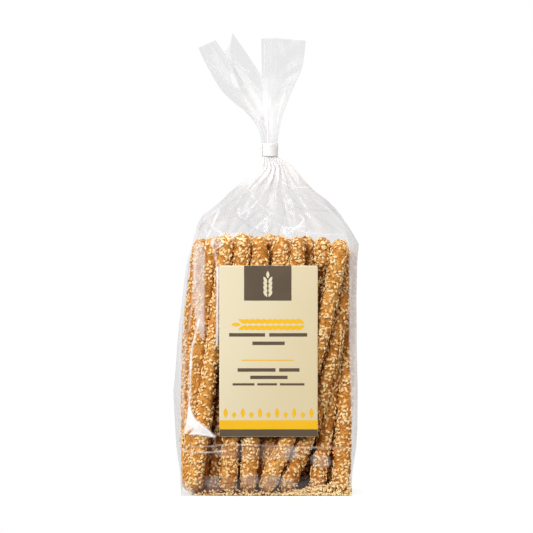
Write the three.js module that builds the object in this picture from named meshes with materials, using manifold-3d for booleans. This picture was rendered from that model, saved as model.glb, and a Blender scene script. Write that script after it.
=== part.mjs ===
// A clear block-bottom bag of sesame breadsticks, standing upright.
// The film bag is one solid with the sticks showing in relief through its walls. It narrows over
// the stick ends to a gathered neck, where a paper band holds it, and its mouth stands above the
// band as two pleated wings. A paper label lies on the front panel.
//
// Frame: millimetres, +Z up, +X to the right, the front panel faces -Y.
// The origin is the middle of the flat base, on the surface that the bag stands on.
import * as THREE from 'three';
import { mergeVertices } from 'three/addons/utils/BufferGeometryUtils.js';
import Module from 'manifold-3d';

const wasm = await Module();
wasm.setup();

// ---------------------------------------------------------------- driving dimensions

const TOUCH_GAP = 0.3; // kept between two solids that touch

const STICK_RADIUS = 5.9; // over the sesame crust
const STICK_FLOOR = 2.5; // the sticks' lower ends stand this far above the table
const STICK_SIDES = 10;

const PANEL_INSET = 4; // how far the sticks stand out of the body between them
const PANEL_EASE = 6; // the height over which that inset runs out under the shoulder
const SIDE_TUCK = 5; // how deep the side gusset folds in under the shoulder
const SIDE_TUCK_RISE = 60; // the height over which the gusset's fold deepens

const NECK_X = 2.6; // the gathered neck stands a little right of the base's middle
const NECK_RADIUS = 5.3;
const BAND_FOOT = 241;
const BAND_HEIGHT = 9;
const BAND_WALL = 0.5;
const NECK_TOP = 262;

const PLEATS = { count: 15, depth: 0.13 }; // round the gathered film, deep as a share of its reach
const FINE_PLEATS = { count: 23, depth: 0.05, shift: 0.3 };
const PLEAT_WIDTH_SHARE = 0.6; // how much of a pleat's depth shows from the front
const FILM_SIDES = 90; // the faces round the film's wall

const WING_THICKNESS = 1.5;
const WING_FOOT_DEPTH = 1.6; // a wing's pleats where they leave the neck
const WING_ROWS = 10;
const RIM_START = 0.7; // the share of a wing's height above which its rim rises and dips

const LABEL = { width: 70, height: 122, foot: 42.5, centre: 1.8, thickness: 0.5, corner: 1.6 };

// The film's outline, from the base to the neck: how far it reaches to the left and right of the
// origin, half its depth, and how square its section is (1 a rectangle, 0 an ellipse).
const OUTLINE = [
  { z: 0, left: 60, right: 60, depth: 25, square: 0.97 },
  { z: 3, left: 61.5, right: 61.5, depth: 26.5, square: 0.97 },
  { z: 34, left: 65, right: 64, depth: 27, square: 0.97 },
  { z: 74, left: 66.5, right: 65, depth: 27, square: 0.96 },
  { z: 108, left: 63.5, right: 65, depth: 27, square: 0.95 },
  { z: 140, left: 58.5, right: 65, depth: 26.5, square: 0.94 },
  { z: 166, left: 54.5, right: 65.5, depth: 26, square: 0.93 },
  { z: 177, left: 53, right: 66.5, depth: 25, square: 0.9 },
  { z: 187, left: 50, right: 61.5, depth: 21.5, square: 0.8 },
  { z: 198, left: 44.5, right: 54.5, depth: 17.5, square: 0.65 },
  { z: 210, left: 30, right: 42.5, depth: 13.5, square: 0.5 },
  { z: 221, left: 18.5, right: 29.5, depth: 10, square: 0.3 },
  { z: 232, left: 6.5, right: 19.5, depth: 7.5, square: 0.1 },
  { z: 238, left: 3.2, right: 13.5, depth: 6, square: 0 },
];
const FULL_DEPTH = Math.max(...OUTLINE.map((row) => row.depth));
const SHOULDER = 177; // the height where the film leaves the sticks
const NECK_FOOT = 240;
const NECK_TIED = 241; // where the film has drawn in to the neck's own radius

// The front row of sticks, fanned as they fell. "foot" and "head" are each end's X and how far it
// stands behind the front row, "top" is how high the head is, "bow" is how far the middle stands
// out to the right, and "bottom" is the lower end of the piece that doesn't reach the base.
const FRONT_ROW = [
  { foot: [-55.6, 3], head: [-48.4, 2.6], top: 181.4, bow: 0 },
  { foot: [-54.6, 1.8], head: [-39.3, 0.4], top: 183.5, bow: -2.6 },
  { foot: [-48.4, 0], head: [-27.9, 0], top: 186.2, bow: 0 },
  { foot: [-27.3, 0], head: [-16.6, 0], top: 186.4, bow: 0 },
  { foot: [-11.7, 0], head: [-3.8, 0], top: 184.6, bow: 0 },
  { foot: [2.5, 3.2], head: [11, 0.4], top: 184, bow: 0 },
  { foot: [12.8, 3.6], head: [23, 1.2], top: 183.9, bow: 0 },
  { foot: [1.4, 0], head: [52.9, 0], top: 179.4, bow: 3.9 },
  { foot: [14.9, 0.6], head: [56.6, 3], top: 175.5, bow: 4.6 },
  { foot: [38, 0.2], head: [54.6, 3.8], top: 177, bow: 0 },
  { foot: [52.7, 0.4], head: [58, 2.2], top: 174.5, bow: 2 },
  { foot: [38.6, 0], head: [39.9, 0], top: 184.2, bow: 0, bottom: 163.5 },
];
const BACK_ROW = { sticks: 9, feet: [-54, 54], heads: [-46, 54], top: 182.5 };
// The columns that show at each side, between the front and back rows.
const SIDE_COLUMNS = [
  { foot: -55, head: -47 },
  { foot: 55, head: 54 },
];
const SIDE_STICKS = 2;
const SIDE_TOP = 181;
// How far chance moves a stick's end, its bow and its top.
const SWING = { end: 1, backBow: 0.8, backTop: 2, sideTop: 1.5 };
const HEAD_LEAN = 1; // the heads of the back row lean this far inwards

// The two wings of the bag's mouth. Each is a strip between a left and a right edge, which are
// curves through points given as [x, z]. "rim" says how far the strip's top stands above or below
// the line between its corners, as [share of the way across, rise]. "swell" is how deep the pleats
// are at the top, and "lean" how far the strip bulges to the front or the back.
const WINGS = [
  {
    left: [[-2.2, 250], [-5, 262], [-20, 277], [-35, 295], [-48, 318.5]],
    right: [[4.5, 250], [3, 268], [-1, 285], [-8, 303], [-21.5, 329.8]],
    rim: [[0.33, 2], [0.5, -6], [0.66, -5.5]],
    pleats: 7,
    swell: 7,
    lean: -5,
  },
  {
    left: [[0.5, 250], [0, 268], [-2, 285], [-3.6, 305], [-3.6, 324.5]],
    right: [[7.6, 250], [11, 268], [16.5, 284], [24, 301], [28.4, 323.5]],
    rim: [[0.3, 1.6]],
    pleats: 8,
    swell: 8,
    lean: 4,
  },
];

// ---------------------------------------------------------------- shared helpers

const { lerp, smoothstep, clamp } = THREE.MathUtils;

// A seeded generator of even numbers from 0 to 1, so that each build is the same.
function seeded(seed) {
  let state = seed;
  return () => {
    state = (state * 16807) % 2147483647;
    return state / 2147483647;
  };
}

// A wave of straight ramps from -1 to 1, with one fold in each unit of t.
function foldWave(t) {
  const along = t - Math.floor(t);
  return 1 - 4 * Math.abs(along - 0.5);
}

// The outline's values at height z, straight between its rows.
function outlineAt(z) {
  const above = OUTLINE.findIndex((row) => row.z >= z);
  if (above <= 0) return above === 0 ? OUTLINE[0] : OUTLINE[OUTLINE.length - 1];
  const low = OUTLINE[above - 1];
  const high = OUTLINE[above];
  const share = (z - low.z) / (high.z - low.z);
  const at = (key) => lerp(low[key], high[key], share);
  return { left: at('left'), right: at('right'), depth: at('depth'), square: at('square') };
}

function solidFrom(geometry) {
  const bare = geometry.clone();
  bare.deleteAttribute('normal');
  bare.deleteAttribute('uv');
  const merged = mergeVertices(bare, 1e-4);
  return new wasm.Manifold(
    new wasm.Mesh({
      numProp: 3,
      vertProperties: merged.attributes.position.array,
      triVerts: new Uint32Array(merged.index.array),
    }),
  );
}

// The largest closed surface of a solid, which leaves out loose scraps and sealed hollows.
function outerShell(solid) {
  return solid.decompose().reduce((best, piece) => (piece.volume() > best.volume() ? piece : best));
}

function geometryFrom(solid) {
  const mesh = solid.getMesh();
  const geometry = new THREE.BufferGeometry();
  geometry.setAttribute('position', new THREE.BufferAttribute(mesh.vertProperties, 3));
  geometry.setIndex(new THREE.BufferAttribute(mesh.triVerts, 1));
  geometry.computeVertexNormals();
  return geometry;
}

// Moves every vertex of a geometry to where place(x, y, z) says.
function reshape(geometry, place) {
  const position = geometry.attributes.position;
  for (let i = 0; i < position.count; i++) {
    position.setXYZ(i, ...place(position.getX(i), position.getY(i), position.getZ(i)));
  }
  return geometry;
}

// ---------------------------------------------------------------- the film bag

// A point of the unit square's edge at turn (0 to 1, from +X towards +Y), and the point of the
// unit circle in the same direction.
function squareAndCircle(turn) {
  const side = Math.floor(turn * 4 + 0.5) % 4;
  const along = (turn * 4 + 0.5 - Math.floor(turn * 4 + 0.5)) * 2 - 1;
  const corner = [[1, along], [-along, 1], [-1, -along], [along, -1]][side];
  const length = Math.hypot(...corner);
  return { square: corner, circle: corner.map((v) => v / length) };
}

// The film's wall at a turn and a height: a squared section whose sides tuck in under the
// shoulder, with pleats that deepen towards the neck.
function filmPoint(turn, z) {
  const row = outlineAt(Math.min(z, NECK_FOOT));
  const { square, circle } = squareAndCircle(turn);
  const ux = lerp(circle[0], square[0], row.square);
  const uy = lerp(circle[1], square[1], row.square);
  const gathered = smoothstep(z, SHOULDER, NECK_FOOT);
  const tuck = SIDE_TUCK * smoothstep(z, SHOULDER - SIDE_TUCK_RISE, SHOULDER) * (1 - gathered);
  const isSide = Math.abs(square[0]) === 1;
  const pinch = isSide ? tuck * (1 - Math.abs(square[1])) : 0;
  const inset = isSide ? 0 : PANEL_INSET * (1 - smoothstep(z, SHOULDER - PANEL_EASE, SHOULDER));
  const reach = (ux > 0 ? row.right : row.left) - pinch;
  const coarse = PLEATS.depth * foldWave(turn * PLEATS.count);
  const fine = FINE_PLEATS.depth * foldWave(turn * FINE_PLEATS.count + FINE_PLEATS.shift);
  const pleat = 1 + gathered * (coarse + fine);
  const bodyX = ux * reach * lerp(1, pleat, PLEAT_WIDTH_SHARE);
  const bodyY = uy * (row.depth - inset) * pleat;
  const tied = smoothstep(z, NECK_FOOT - 4, NECK_TIED);
  const neckX = NECK_X + circle[0] * NECK_RADIUS;
  const neckY = circle[1] * NECK_RADIUS;
  return [lerp(bodyX, neckX, tied), lerp(bodyY, neckY, tied), z];
}

// The heights of the rings that the film's wall is built from: the outline's own, one between each
// two of them over the shoulder, and the neck's.
const RINGS = [
  ...OUTLINE.map((row) => row.z),
  ...OUTLINE.slice(1).map((row, i) => (row.z + OUTLINE[i].z) / 2).filter((z) => z > SHOULDER - PANEL_EASE),
  NECK_TIED,
  NECK_TOP,
].sort((a, b) => a - b);

// The film's closed body, from its base to the top of the neck: a cylinder drawn out to the wall.
function bodySolid() {
  const steps = RINGS.length - 1;
  const tube = new THREE.CylinderGeometry(1, 1, 1, FILM_SIDES, steps);
  reshape(tube, (x, y, z) => {
    const height = RINGS[Math.round((0.5 + y) * steps)];
    const turn = Math.round((Math.atan2(-z, x) / (2 * Math.PI) + 1) * FILM_SIDES) / FILM_SIDES;
    const isWall = Math.hypot(x, z) > 0.5;
    const centre = height > NECK_FOOT ? NECK_X : 0;
    return isWall ? filmPoint(turn % 1, height) : [centre, 0, height];
  });
  return solidFrom(tube);
}

// One breadstick from foot to head: a round-ended rod that leans and bows a little.
function stickSolid(foot, head, bow) {
  const length = Math.hypot(...head.map((end, i) => end - foot[i]));
  const rod = new THREE.CapsuleGeometry(STICK_RADIUS, length - 2 * STICK_RADIUS, 2, STICK_SIDES, 3);
  reshape(rod, (x, y, z) => {
    const t = y / length + 0.5;
    const bend = bow * Math.sin(Math.PI * clamp(t, 0, 1));
    const [axisX, axisY, height] = foot.map((low, i) => lerp(low, head[i], t));
    return [axisX + x + bend, axisY - z, height];
  });
  return solidFrom(rod);
}

// The sticks that press against the film: the front row, an even back row and the side columns.
function stickSolids() {
  const random = seeded(41);
  const swing = (size) => (random() * 2 - 1) * size;
  const wall = FULL_DEPTH - STICK_RADIUS - TOUCH_GAP;
  const sticks = [];
  for (const { foot, head, top, bow, bottom = STICK_FLOOR } of FRONT_ROW) {
    const low = [foot[0], foot[1] - wall, bottom];
    const high = [head[0], head[1] - wall, top];
    sticks.push(stickSolid(low, high, bow));
  }
  for (let i = 0; i < BACK_ROW.sticks; i++) {
    const share = i / (BACK_ROW.sticks - 1);
    const foot = [lerp(...BACK_ROW.feet, share) + swing(SWING.end), wall, STICK_FLOOR];
    const headX = lerp(...BACK_ROW.heads, share) + swing(SWING.end);
    const head = [headX, wall - HEAD_LEAN, BACK_ROW.top + swing(SWING.backTop)];
    sticks.push(stickSolid(foot, head, swing(SWING.backBow)));
  }
  for (const column of SIDE_COLUMNS) {
    for (let i = 0; i < SIDE_STICKS; i++) {
      const y = lerp(-wall, wall, (i + 1) / (SIDE_STICKS + 1));
      const foot = [column.foot, y, STICK_FLOOR];
      const head = [column.head, y + swing(SWING.end), SIDE_TOP + swing(SWING.sideTop)];
      sticks.push(stickSolid(foot, head, 0));
    }
  }
  return sticks;
}

// A smooth curve in the X-Z plane through points given as [x, z].
function edgeCurve(points) {
  return new THREE.CatmullRomCurve3(points.map(([x, z]) => new THREE.Vector3(x, 0, z)));
}

// How far the wing's rim stands above or below the straight line between its corners.
function rimRise(rim, across) {
  const knots = [[0, 0], ...rim, [1, 0]];
  const next = knots.findIndex(([at]) => at >= across);
  if (next <= 0) return 0;
  const [from, low] = knots[next - 1];
  const [to, high] = knots[next];
  return lerp(low, high, (across - from) / (to - from));
}

// One wing of the bag's mouth: a strip of pleated film that fans out above the neck.
function wingSolid(wing) {
  const strip = new THREE.BoxGeometry(1, 1, 1, wing.pleats * 2, WING_ROWS, 1);
  const leftEdge = edgeCurve(wing.left);
  const rightEdge = edgeCurve(wing.right);
  reshape(strip, (x, y, z) => {
    const u = x + 0.5;
    const v = y + 0.5;
    const point = leftEdge.getPoint(v).lerp(rightEdge.getPoint(v), u);
    const open = smoothstep(v, 0, 1);
    const fold = (lerp(WING_FOOT_DEPTH, wing.swell, open) / 2) * foldWave(u * wing.pleats);
    const arch = wing.lean * open * Math.sin(Math.PI * u);
    const rise = rimRise(wing.rim, u) * smoothstep(v, RIM_START, 1);
    return [point.x, fold + arch - z * WING_THICKNESS, point.z + rise];
  });
  return solidFrom(strip);
}

// The whole bag: film body, sticks in relief and wings in one solid.
function filmBag() {
  const parts = [bodySolid(), ...stickSolids(), ...WINGS.map(wingSolid)];
  return geometryFrom(outerShell(wasm.Manifold.union(parts)));
}

// ---------------------------------------------------------------- the band and the label

// The paper band round the neck, as a closed ring.
function neckBand() {
  const inner = NECK_RADIUS + TOUCH_GAP;
  const outer = inner + BAND_WALL;
  const profile = [
    [inner, 0], [outer, 0], [outer, BAND_HEIGHT], [inner, BAND_HEIGHT], [inner, 0],
  ].map(([r, h]) => new THREE.Vector2(r, h));
  return new THREE.LatheGeometry(profile, 32).rotateX(Math.PI / 2);
}

// The label, a round-cornered card that lies flat on the front panel.
function labelCard() {
  const { width, height, thickness, corner } = LABEL;
  const shape = new THREE.Shape();
  const w = width / 2 - corner;
  const h = height - corner;
  shape.absarc(w, corner, corner, -Math.PI / 2, 0);
  shape.absarc(w, h, corner, 0, Math.PI / 2);
  shape.absarc(-w, h, corner, Math.PI / 2, Math.PI);
  shape.absarc(-w, corner, corner, Math.PI, 1.5 * Math.PI);
  const card = new THREE.ExtrudeGeometry(shape, { depth: thickness, bevelEnabled: false, curveSegments: 4 });
  return card.rotateX(Math.PI / 2);
}

// ---------------------------------------------------------------- the pack

const MATERIALS = {
  bag: new THREE.MeshStandardMaterial({ color: 0xd9ab6c, roughness: 0.3, metalness: 0 }),
  band: new THREE.MeshStandardMaterial({ color: 0xf4f4f2, roughness: 0.6, metalness: 0 }),
  label: new THREE.MeshStandardMaterial({ color: 0xefe3c1, roughness: 0.55, metalness: 0 }),
};

function part(name, geometry, material, x = 0, y = 0, z = 0) {
  const mesh = new THREE.Mesh(geometry, material);
  mesh.name = name;
  mesh.position.set(x, y, z);
  return mesh;
}

const pack = new THREE.Group();
const labelBack = -(FULL_DEPTH + TOUCH_GAP);
pack.add(
  part('bag', filmBag(), MATERIALS.bag),
  part('neck_band', neckBand(), MATERIALS.band, NECK_X, 0, BAND_FOOT),
  part('label', labelCard(), MATERIALS.label, LABEL.centre, labelBack, LABEL.foot),
);

export default pack;
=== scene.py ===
"""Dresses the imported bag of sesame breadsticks: clear film, crust, seeds, label and neck band.

Lengths are in millimetres, in the part's frame: +Z up, +X to the right, and the front panel
faces -Y. A finished piece's mesh is scaled to metres.
"""

import logging
import math
from collections.abc import Callable, Sequence
from dataclasses import dataclass, field, replace
from enum import Enum

import bmesh
import bpy
import numpy as np
from mathutils import Matrix, Vector, noise


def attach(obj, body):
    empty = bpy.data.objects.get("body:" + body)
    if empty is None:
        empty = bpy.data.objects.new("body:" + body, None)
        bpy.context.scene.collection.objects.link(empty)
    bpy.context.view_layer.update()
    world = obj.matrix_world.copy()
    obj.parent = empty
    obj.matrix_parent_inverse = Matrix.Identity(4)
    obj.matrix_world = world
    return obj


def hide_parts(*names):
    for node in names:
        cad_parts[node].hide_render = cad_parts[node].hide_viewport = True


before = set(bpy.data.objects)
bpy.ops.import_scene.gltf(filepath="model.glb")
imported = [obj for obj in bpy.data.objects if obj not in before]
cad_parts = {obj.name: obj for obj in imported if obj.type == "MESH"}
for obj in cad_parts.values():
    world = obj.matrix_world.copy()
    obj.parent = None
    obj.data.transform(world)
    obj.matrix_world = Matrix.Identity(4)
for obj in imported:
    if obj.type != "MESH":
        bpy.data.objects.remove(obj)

LOG = logging.getLogger("breadstick_bag")
METRES = 0.001
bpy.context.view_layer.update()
Array = np.ndarray
Shape = bmesh.types.BMesh
Socket = bpy.types.NodeSocket
Point = tuple[float, float, float]
Colour = tuple[float, float, float]
Line = tuple[tuple[float, float], ...]
Placer = Callable[[Array, Array], Array]


# ---------------------------------------------------------------- shapes shared by the pieces


def smooth(low: float, high: float, value: Array) -> Array:
    """Rises smoothly from 0 at low to 1 at high.

    Args:
        low: Where the rise starts.
        high: Where it ends.
        value: The values to map.

    Returns:
        The share from 0 to 1 for each value.
    """
    share = np.clip((value - low) / (high - low), 0.0, 1.0)
    return share * share * (3.0 - 2.0 * share)


def ramp_wave(phase: Array) -> Array:
    """A wave of straight ramps from -1 to 1, with one fold in each unit of phase."""
    return 1.0 - 4.0 * np.abs(phase - np.floor(phase) - 0.5)


def curve_through(points: Sequence[tuple[float, float]], share: Array) -> tuple[Array, Array]:
    """A smooth curve through points in a plane.

    Args:
        points: The points it passes through, evenly spaced in share.
        share: Where on the curve, from 0 to 1.

    Returns:
        The two coordinates at each share.
    """
    knots = np.array([points[0], *points, points[-1]], float)
    spans = len(points) - 1
    place = np.clip(share, 0.0, 1.0) * spans
    index = np.minimum(place.astype(int), spans - 1)
    t = (place - index)[:, None]
    before, start, end, after = (knots[index + k] for k in range(4))
    bend = (2 * before - 5 * start + 4 * end - after) * t**2
    twist = (3 * start - before - 3 * end + after) * t**3
    found = 0.5 * (2 * start + (end - before) * t + bend + twist)
    return found[:, 0], found[:, 1]


@dataclass(frozen=True)
class Crumple:
    """Straight creases in chance directions, with calm stretches between them.

    Attributes:
        seed: Starts the chance draws.
        spacing: The usual distance between creases.
        height: How far the creases stand out.
        directions: How many families of creases cross.
    """

    seed: int
    spacing: float
    height: float
    directions: int = 5

    def families(self, across: Array, along: Array) -> list[tuple[Array, float, Array]]:
        """Each family of creases: its phase, the distance between its creases, and where it shows.

        Args:
            across: The places' distance across the sheet.
            along: Their distance along it.

        Returns:
            The three for each family.
        """
        draw = np.random.default_rng(self.seed)
        found = []
        for _ in range(self.directions):
            turn = draw.uniform(0.0, math.pi)
            stretch = self.spacing * draw.uniform(0.7, 1.6)
            first, second, third = draw.uniform(0.0, 1.0, 3)
            line = across * math.cos(turn) + along * math.sin(turn)
            side = along * math.cos(turn) - across * math.sin(turn)
            warp = 0.3 * np.sin(side / (stretch * 1.9) + 6.0 * first)
            drift = np.sin(side / (stretch * 1.3) + line / (stretch * 2.9) + 6.0 * second)
            calm = np.clip(0.35 + 0.9 * drift, 0.0, 1.0)
            found.append((line / stretch + warp + third, stretch, calm))
        return found

    def at(self, across: Array, along: Array) -> Array:
        """The height of the creased sheet at each place on it.

        Args:
            across: The places' first coordinate.
            along: Their second coordinate.

        Returns:
            How far the sheet stands out at each place.
        """
        total = sum(ramp_wave(phase) * calm for phase, _, calm in self.families(across, along))
        return total * self.height / math.sqrt(self.directions)

    def ridges(self, across: Array, along: Array, width: float) -> Array:
        """Where the creases run: above 0 on a ridge and below 0 in a valley.

        Args:
            across: The places' first coordinate.
            along: Their second coordinate.
            width: Half a crease's width.

        Returns:
            The crease's strength at each place, from -1 to 1.
        """
        strongest = np.zeros_like(across)
        for phase, stretch, calm in self.families(across, along):
            nearest = np.round(2.0 * phase)
            reach = np.abs(2.0 * phase - nearest) / 2.0 * stretch
            sign = np.where(nearest % 2 == 0, -1.0, 1.0)
            line = sign * calm * np.exp(-((reach / width) ** 2))
            strongest = np.where(np.abs(line) > np.abs(strongest), line, strongest)
        return strongest


def painted_highlight_streaks(
    seed: int,
    count: int,
    across: Array,
    up: Array,
    lean: float = 0.12,
    widths: tuple[float, float] = (0.005, 0.022),
) -> Array:
    """Thin bright lines that run up a sheet, each over its own stretch: painted highlights on the film.

    Args:
        seed: Starts the chance draws.
        count: How many lines there are.
        across: The places' share across the sheet.
        up: Their share up it.
        lean: How far a line may lean across the whole sheet.
        widths: The narrowest and the widest half width of a line.

    Returns:
        How strong the lines are at each place, from 0 to 1.
    """
    draw = np.random.default_rng(seed)
    total = np.zeros_like(across)
    for _ in range(count):
        at, width, slope = draw.uniform(0.0, 1.0), draw.uniform(*widths), draw.uniform(-lean, lean)
        start, reach, strength = draw.uniform(-0.1, 0.6), draw.uniform(0.15, 0.55), draw.uniform(0.3, 1.0)
        line = np.exp(-(((across - at - slope * (up - 0.5)) / width) ** 2))
        stretch = smooth(start, start + 0.08, up) * (1.0 - smooth(start + reach * 0.6, start + reach, up))
        total = np.maximum(total, strength * line * stretch)
    return total


@dataclass(frozen=True)
class Gleam:
    """A painted highlight: a pale mark where a crease of the front panel catches the light; weak ones paint
    faint reflections.

    Attributes:
        points: Its corners or the points of its line, as X and Z.
        strength: How strongly it is painted pale.
        width: Half its line's width, or 0 for a filled shape.
        soft: How wide a filled shape's edge fades.
    """

    points: Line
    strength: float
    width: float = 0.0
    soft: float = 0.45

    def at(self, x: Array, z: Array) -> Array:
        """How strong the mark is at each place.

        Args:
            x: The places' X.
            z: Their heights.

        Returns:
            The strength at each place.
        """
        ring = self.points if self.width else (*self.points, self.points[0])
        reach = np.full(x.shape, np.inf)
        inside = np.zeros(x.shape, bool)
        for (x0, z0), (x1, z1) in zip(ring[:-1], ring[1:], strict=True):
            length = max(math.hypot(x1 - x0, z1 - z0), 1e-9)
            along = np.clip(((x - x0) * (x1 - x0) + (z - z0) * (z1 - z0)) / length**2, 0.0, 1.0)
            reach = np.minimum(reach, np.hypot(x - x0 - along * (x1 - x0), z - z0 - along * (z1 - z0)))
            if z0 != z1:
                crossing = x0 + (z - z0) * (x1 - x0) / (z1 - z0)
                inside ^= ((z0 > z) != (z1 > z)) & (x < crossing)
        if self.width:
            return self.strength * np.exp(-((reach / self.width) ** 2))
        edge = np.where(inside, reach, -reach)
        return self.strength * smooth(-self.soft, self.soft, edge)


def even_grid(columns: int, rows: int) -> Shape:
    """A flat grid of quads that reaches from 0 to 1 both ways.

    Args:
        columns: How many quads across.
        rows: How many quads up.

    Returns:
        The grid.
    """
    sheet = bmesh.new()
    bmesh.ops.create_grid(sheet, x_segments=columns, y_segments=rows, size=0.5)
    bmesh.ops.translate(sheet, verts=sheet.verts, vec=(0.5, 0.5, 0.0))
    return sheet


def placed_grid(columns: int, rows: int, place: Placer, tones: dict[str, Placer] | None = None) -> Shape:
    """A grid whose points lie where a function says.

    Args:
        columns: How many quads across.
        rows: How many quads up.
        place: Gives the points, one row each, for the shares across and up.
        tones: Gives the value of each named attribute there.

    Returns:
        The shaped grid.
    """
    sheet = even_grid(columns, rows)
    flat = np.array([v.co[:] for v in sheet.verts])
    points = place(flat[:, 0], flat[:, 1])
    for number, vert in enumerate(sheet.verts):
        vert.co = points[number]
    for name, tone in (tones or {}).items():
        layer = sheet.verts.layers.float.new(name)
        for value, vert in zip(tone(flat[:, 0], flat[:, 1]), sheet.verts, strict=True):
            vert[layer] = value
    return sheet


def give_tone(mesh: bpy.types.Mesh, values: Array | float) -> None:
    """Gives a mesh the tones that shift its finish's colour.

    Args:
        mesh: The mesh.
        values: One tone for the whole mesh, or one for each vertex.
    """
    tone = mesh.attributes.new("tone", "FLOAT", "POINT")
    tone.data.foreach_set("value", np.broadcast_to(values, len(mesh.vertices)).astype(np.float32))


class Piece:
    """A finished piece of the bag, handed to the frame.

    Args:
        name: The piece's name.
        slot: The record's slot of its finish; not used.
    """

    def __init__(self, name: str, slot: str) -> None:
        """Takes the piece's name and slot."""
        self.name = name
        self.slot = slot

    def from_bmesh(self, shape: Shape, finish: bpy.types.Material) -> bpy.types.Object:
        """Makes the object from a bmesh in millimetres, and frees the bmesh.

        Args:
            shape: The shape.
            finish: Its material.

        Returns:
            The object, riding on the bag.
        """
        mesh = bpy.data.meshes.new(self.name)
        shape.to_mesh(mesh)
        shape.free()
        return self.from_mesh(mesh, finish)

    def from_outward(self, shape: Shape, finish: bpy.types.Material) -> bpy.types.Object:
        """Turns a bmesh's faces outwards, and makes the object from it as from_bmesh does.

        Args:
            shape: The shape, in millimetres.
            finish: Its material.

        Returns:
            The object, riding on the bag.
        """
        bmesh.ops.recalc_face_normals(shape, faces=shape.faces)
        return self.from_bmesh(shape, finish)

    def from_mesh(self, mesh: bpy.types.Mesh, finish: bpy.types.Material) -> bpy.types.Object:
        """Makes the object from a mesh in millimetres.

        Args:
            mesh: The mesh.
            finish: Its material.

        Returns:
            The object, riding on the bag.
        """
        mesh.transform(Matrix.Scale(METRES, 4))
        mesh.materials.append(finish)
        mesh.polygons.foreach_set("use_smooth", [True] * len(mesh.polygons))
        thing = bpy.data.objects.new(self.name, mesh)
        bpy.context.scene.collection.objects.link(thing)
        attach(thing, "root")
        LOG.info("%s: %d faces", self.name, len(mesh.polygons))
        return thing


# ---------------------------------------------------------------- finishes


class Tree:
    """A node tree with short calls for adding and joining nodes.

    Args:
        tree: The node tree that it fills.
    """

    def __init__(self, tree: bpy.types.NodeTree) -> None:
        """Takes the node tree."""
        self.tree = tree

    def add(self, kind: str, inputs: dict | None = None, **settings: object) -> bpy.types.Node:
        """Adds a node.

        Args:
            kind: The node's type name.
            inputs: Values or sockets for its inputs, by name or number.
            settings: Its own settings.

        Returns:
            The node.
        """
        node = self.tree.nodes.new(kind)
        for name, value in settings.items():
            setattr(node, name, value)
        for name, value in (inputs or {}).items():
            if isinstance(value, Socket):
                self.tree.links.new(value, node.inputs[name])
            else:
                node.inputs[name].default_value = value
        return node

    def maths(self, operation: str, first: Socket | float, second: Socket | float) -> Socket:
        """The result socket of an operation on two values or sockets."""
        return self.add("ShaderNodeMath", {0: first, 1: second}, operation=operation).outputs[0]

    def ramp(self, factor: Socket, stops: Sequence[tuple[float, Colour]]) -> Socket:
        """A colour ramp, and its colour socket.

        Args:
            factor: What picks the colour.
            stops: Each stop's place and its linear colour.

        Returns:
            The colour socket.
        """
        node = self.add("ShaderNodeValToRGB", {0: factor})
        marks = node.color_ramp.elements
        while len(marks) < len(stops):
            marks.new(0.5)
        for mark, (place, colour) in zip(marks, stops, strict=True):
            mark.position = place
            mark.color = (*colour, 1.0)
        return node.outputs[0]


def new_material(name: str) -> tuple[bpy.types.Material, Tree]:
    """A material with an empty tree.

    Args:
        name: The material's name.

    Returns:
        The material and its tree.
    """
    material = bpy.data.materials.new(name)
    material.use_nodes = True
    material.node_tree.nodes.clear()
    return material, Tree(material.node_tree)


def grain_group() -> bpy.types.NodeTree:
    """The node group of a mottled surface: a soft and a fine noise mixed, read in object space."""
    group = bpy.data.node_groups.get("Mottle")
    if group:
        return group
    group = bpy.data.node_groups.new("Mottle", "ShaderNodeTree")
    face = group.interface
    for name, value in (("Soft scale", 200.0), ("Fine scale", 900.0), ("Fine share", 0.4)):
        face.new_socket(name, in_out="INPUT", socket_type="NodeSocketFloat").default_value = value
    face.new_socket("Mask", in_out="OUTPUT", socket_type="NodeSocketFloat")
    tree = Tree(group)
    given = tree.add("NodeGroupInput").outputs
    where = tree.add("ShaderNodeTexCoord").outputs["Object"]
    soft = tree.add("ShaderNodeTexNoise", {"Vector": where, "Scale": given["Soft scale"], "Detail": 3.0})
    fine = tree.add("ShaderNodeTexNoise", {"Vector": where, "Scale": given["Fine scale"], "Detail": 4.0})
    mixed = tree.add(
        "ShaderNodeMix", {0: given["Fine share"], 2: soft.outputs[0], 3: fine.outputs[0]}, data_type="FLOAT"
    )
    tree.add("NodeGroupOutput", {"Mask": mixed.outputs[0]})
    return group


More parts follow.
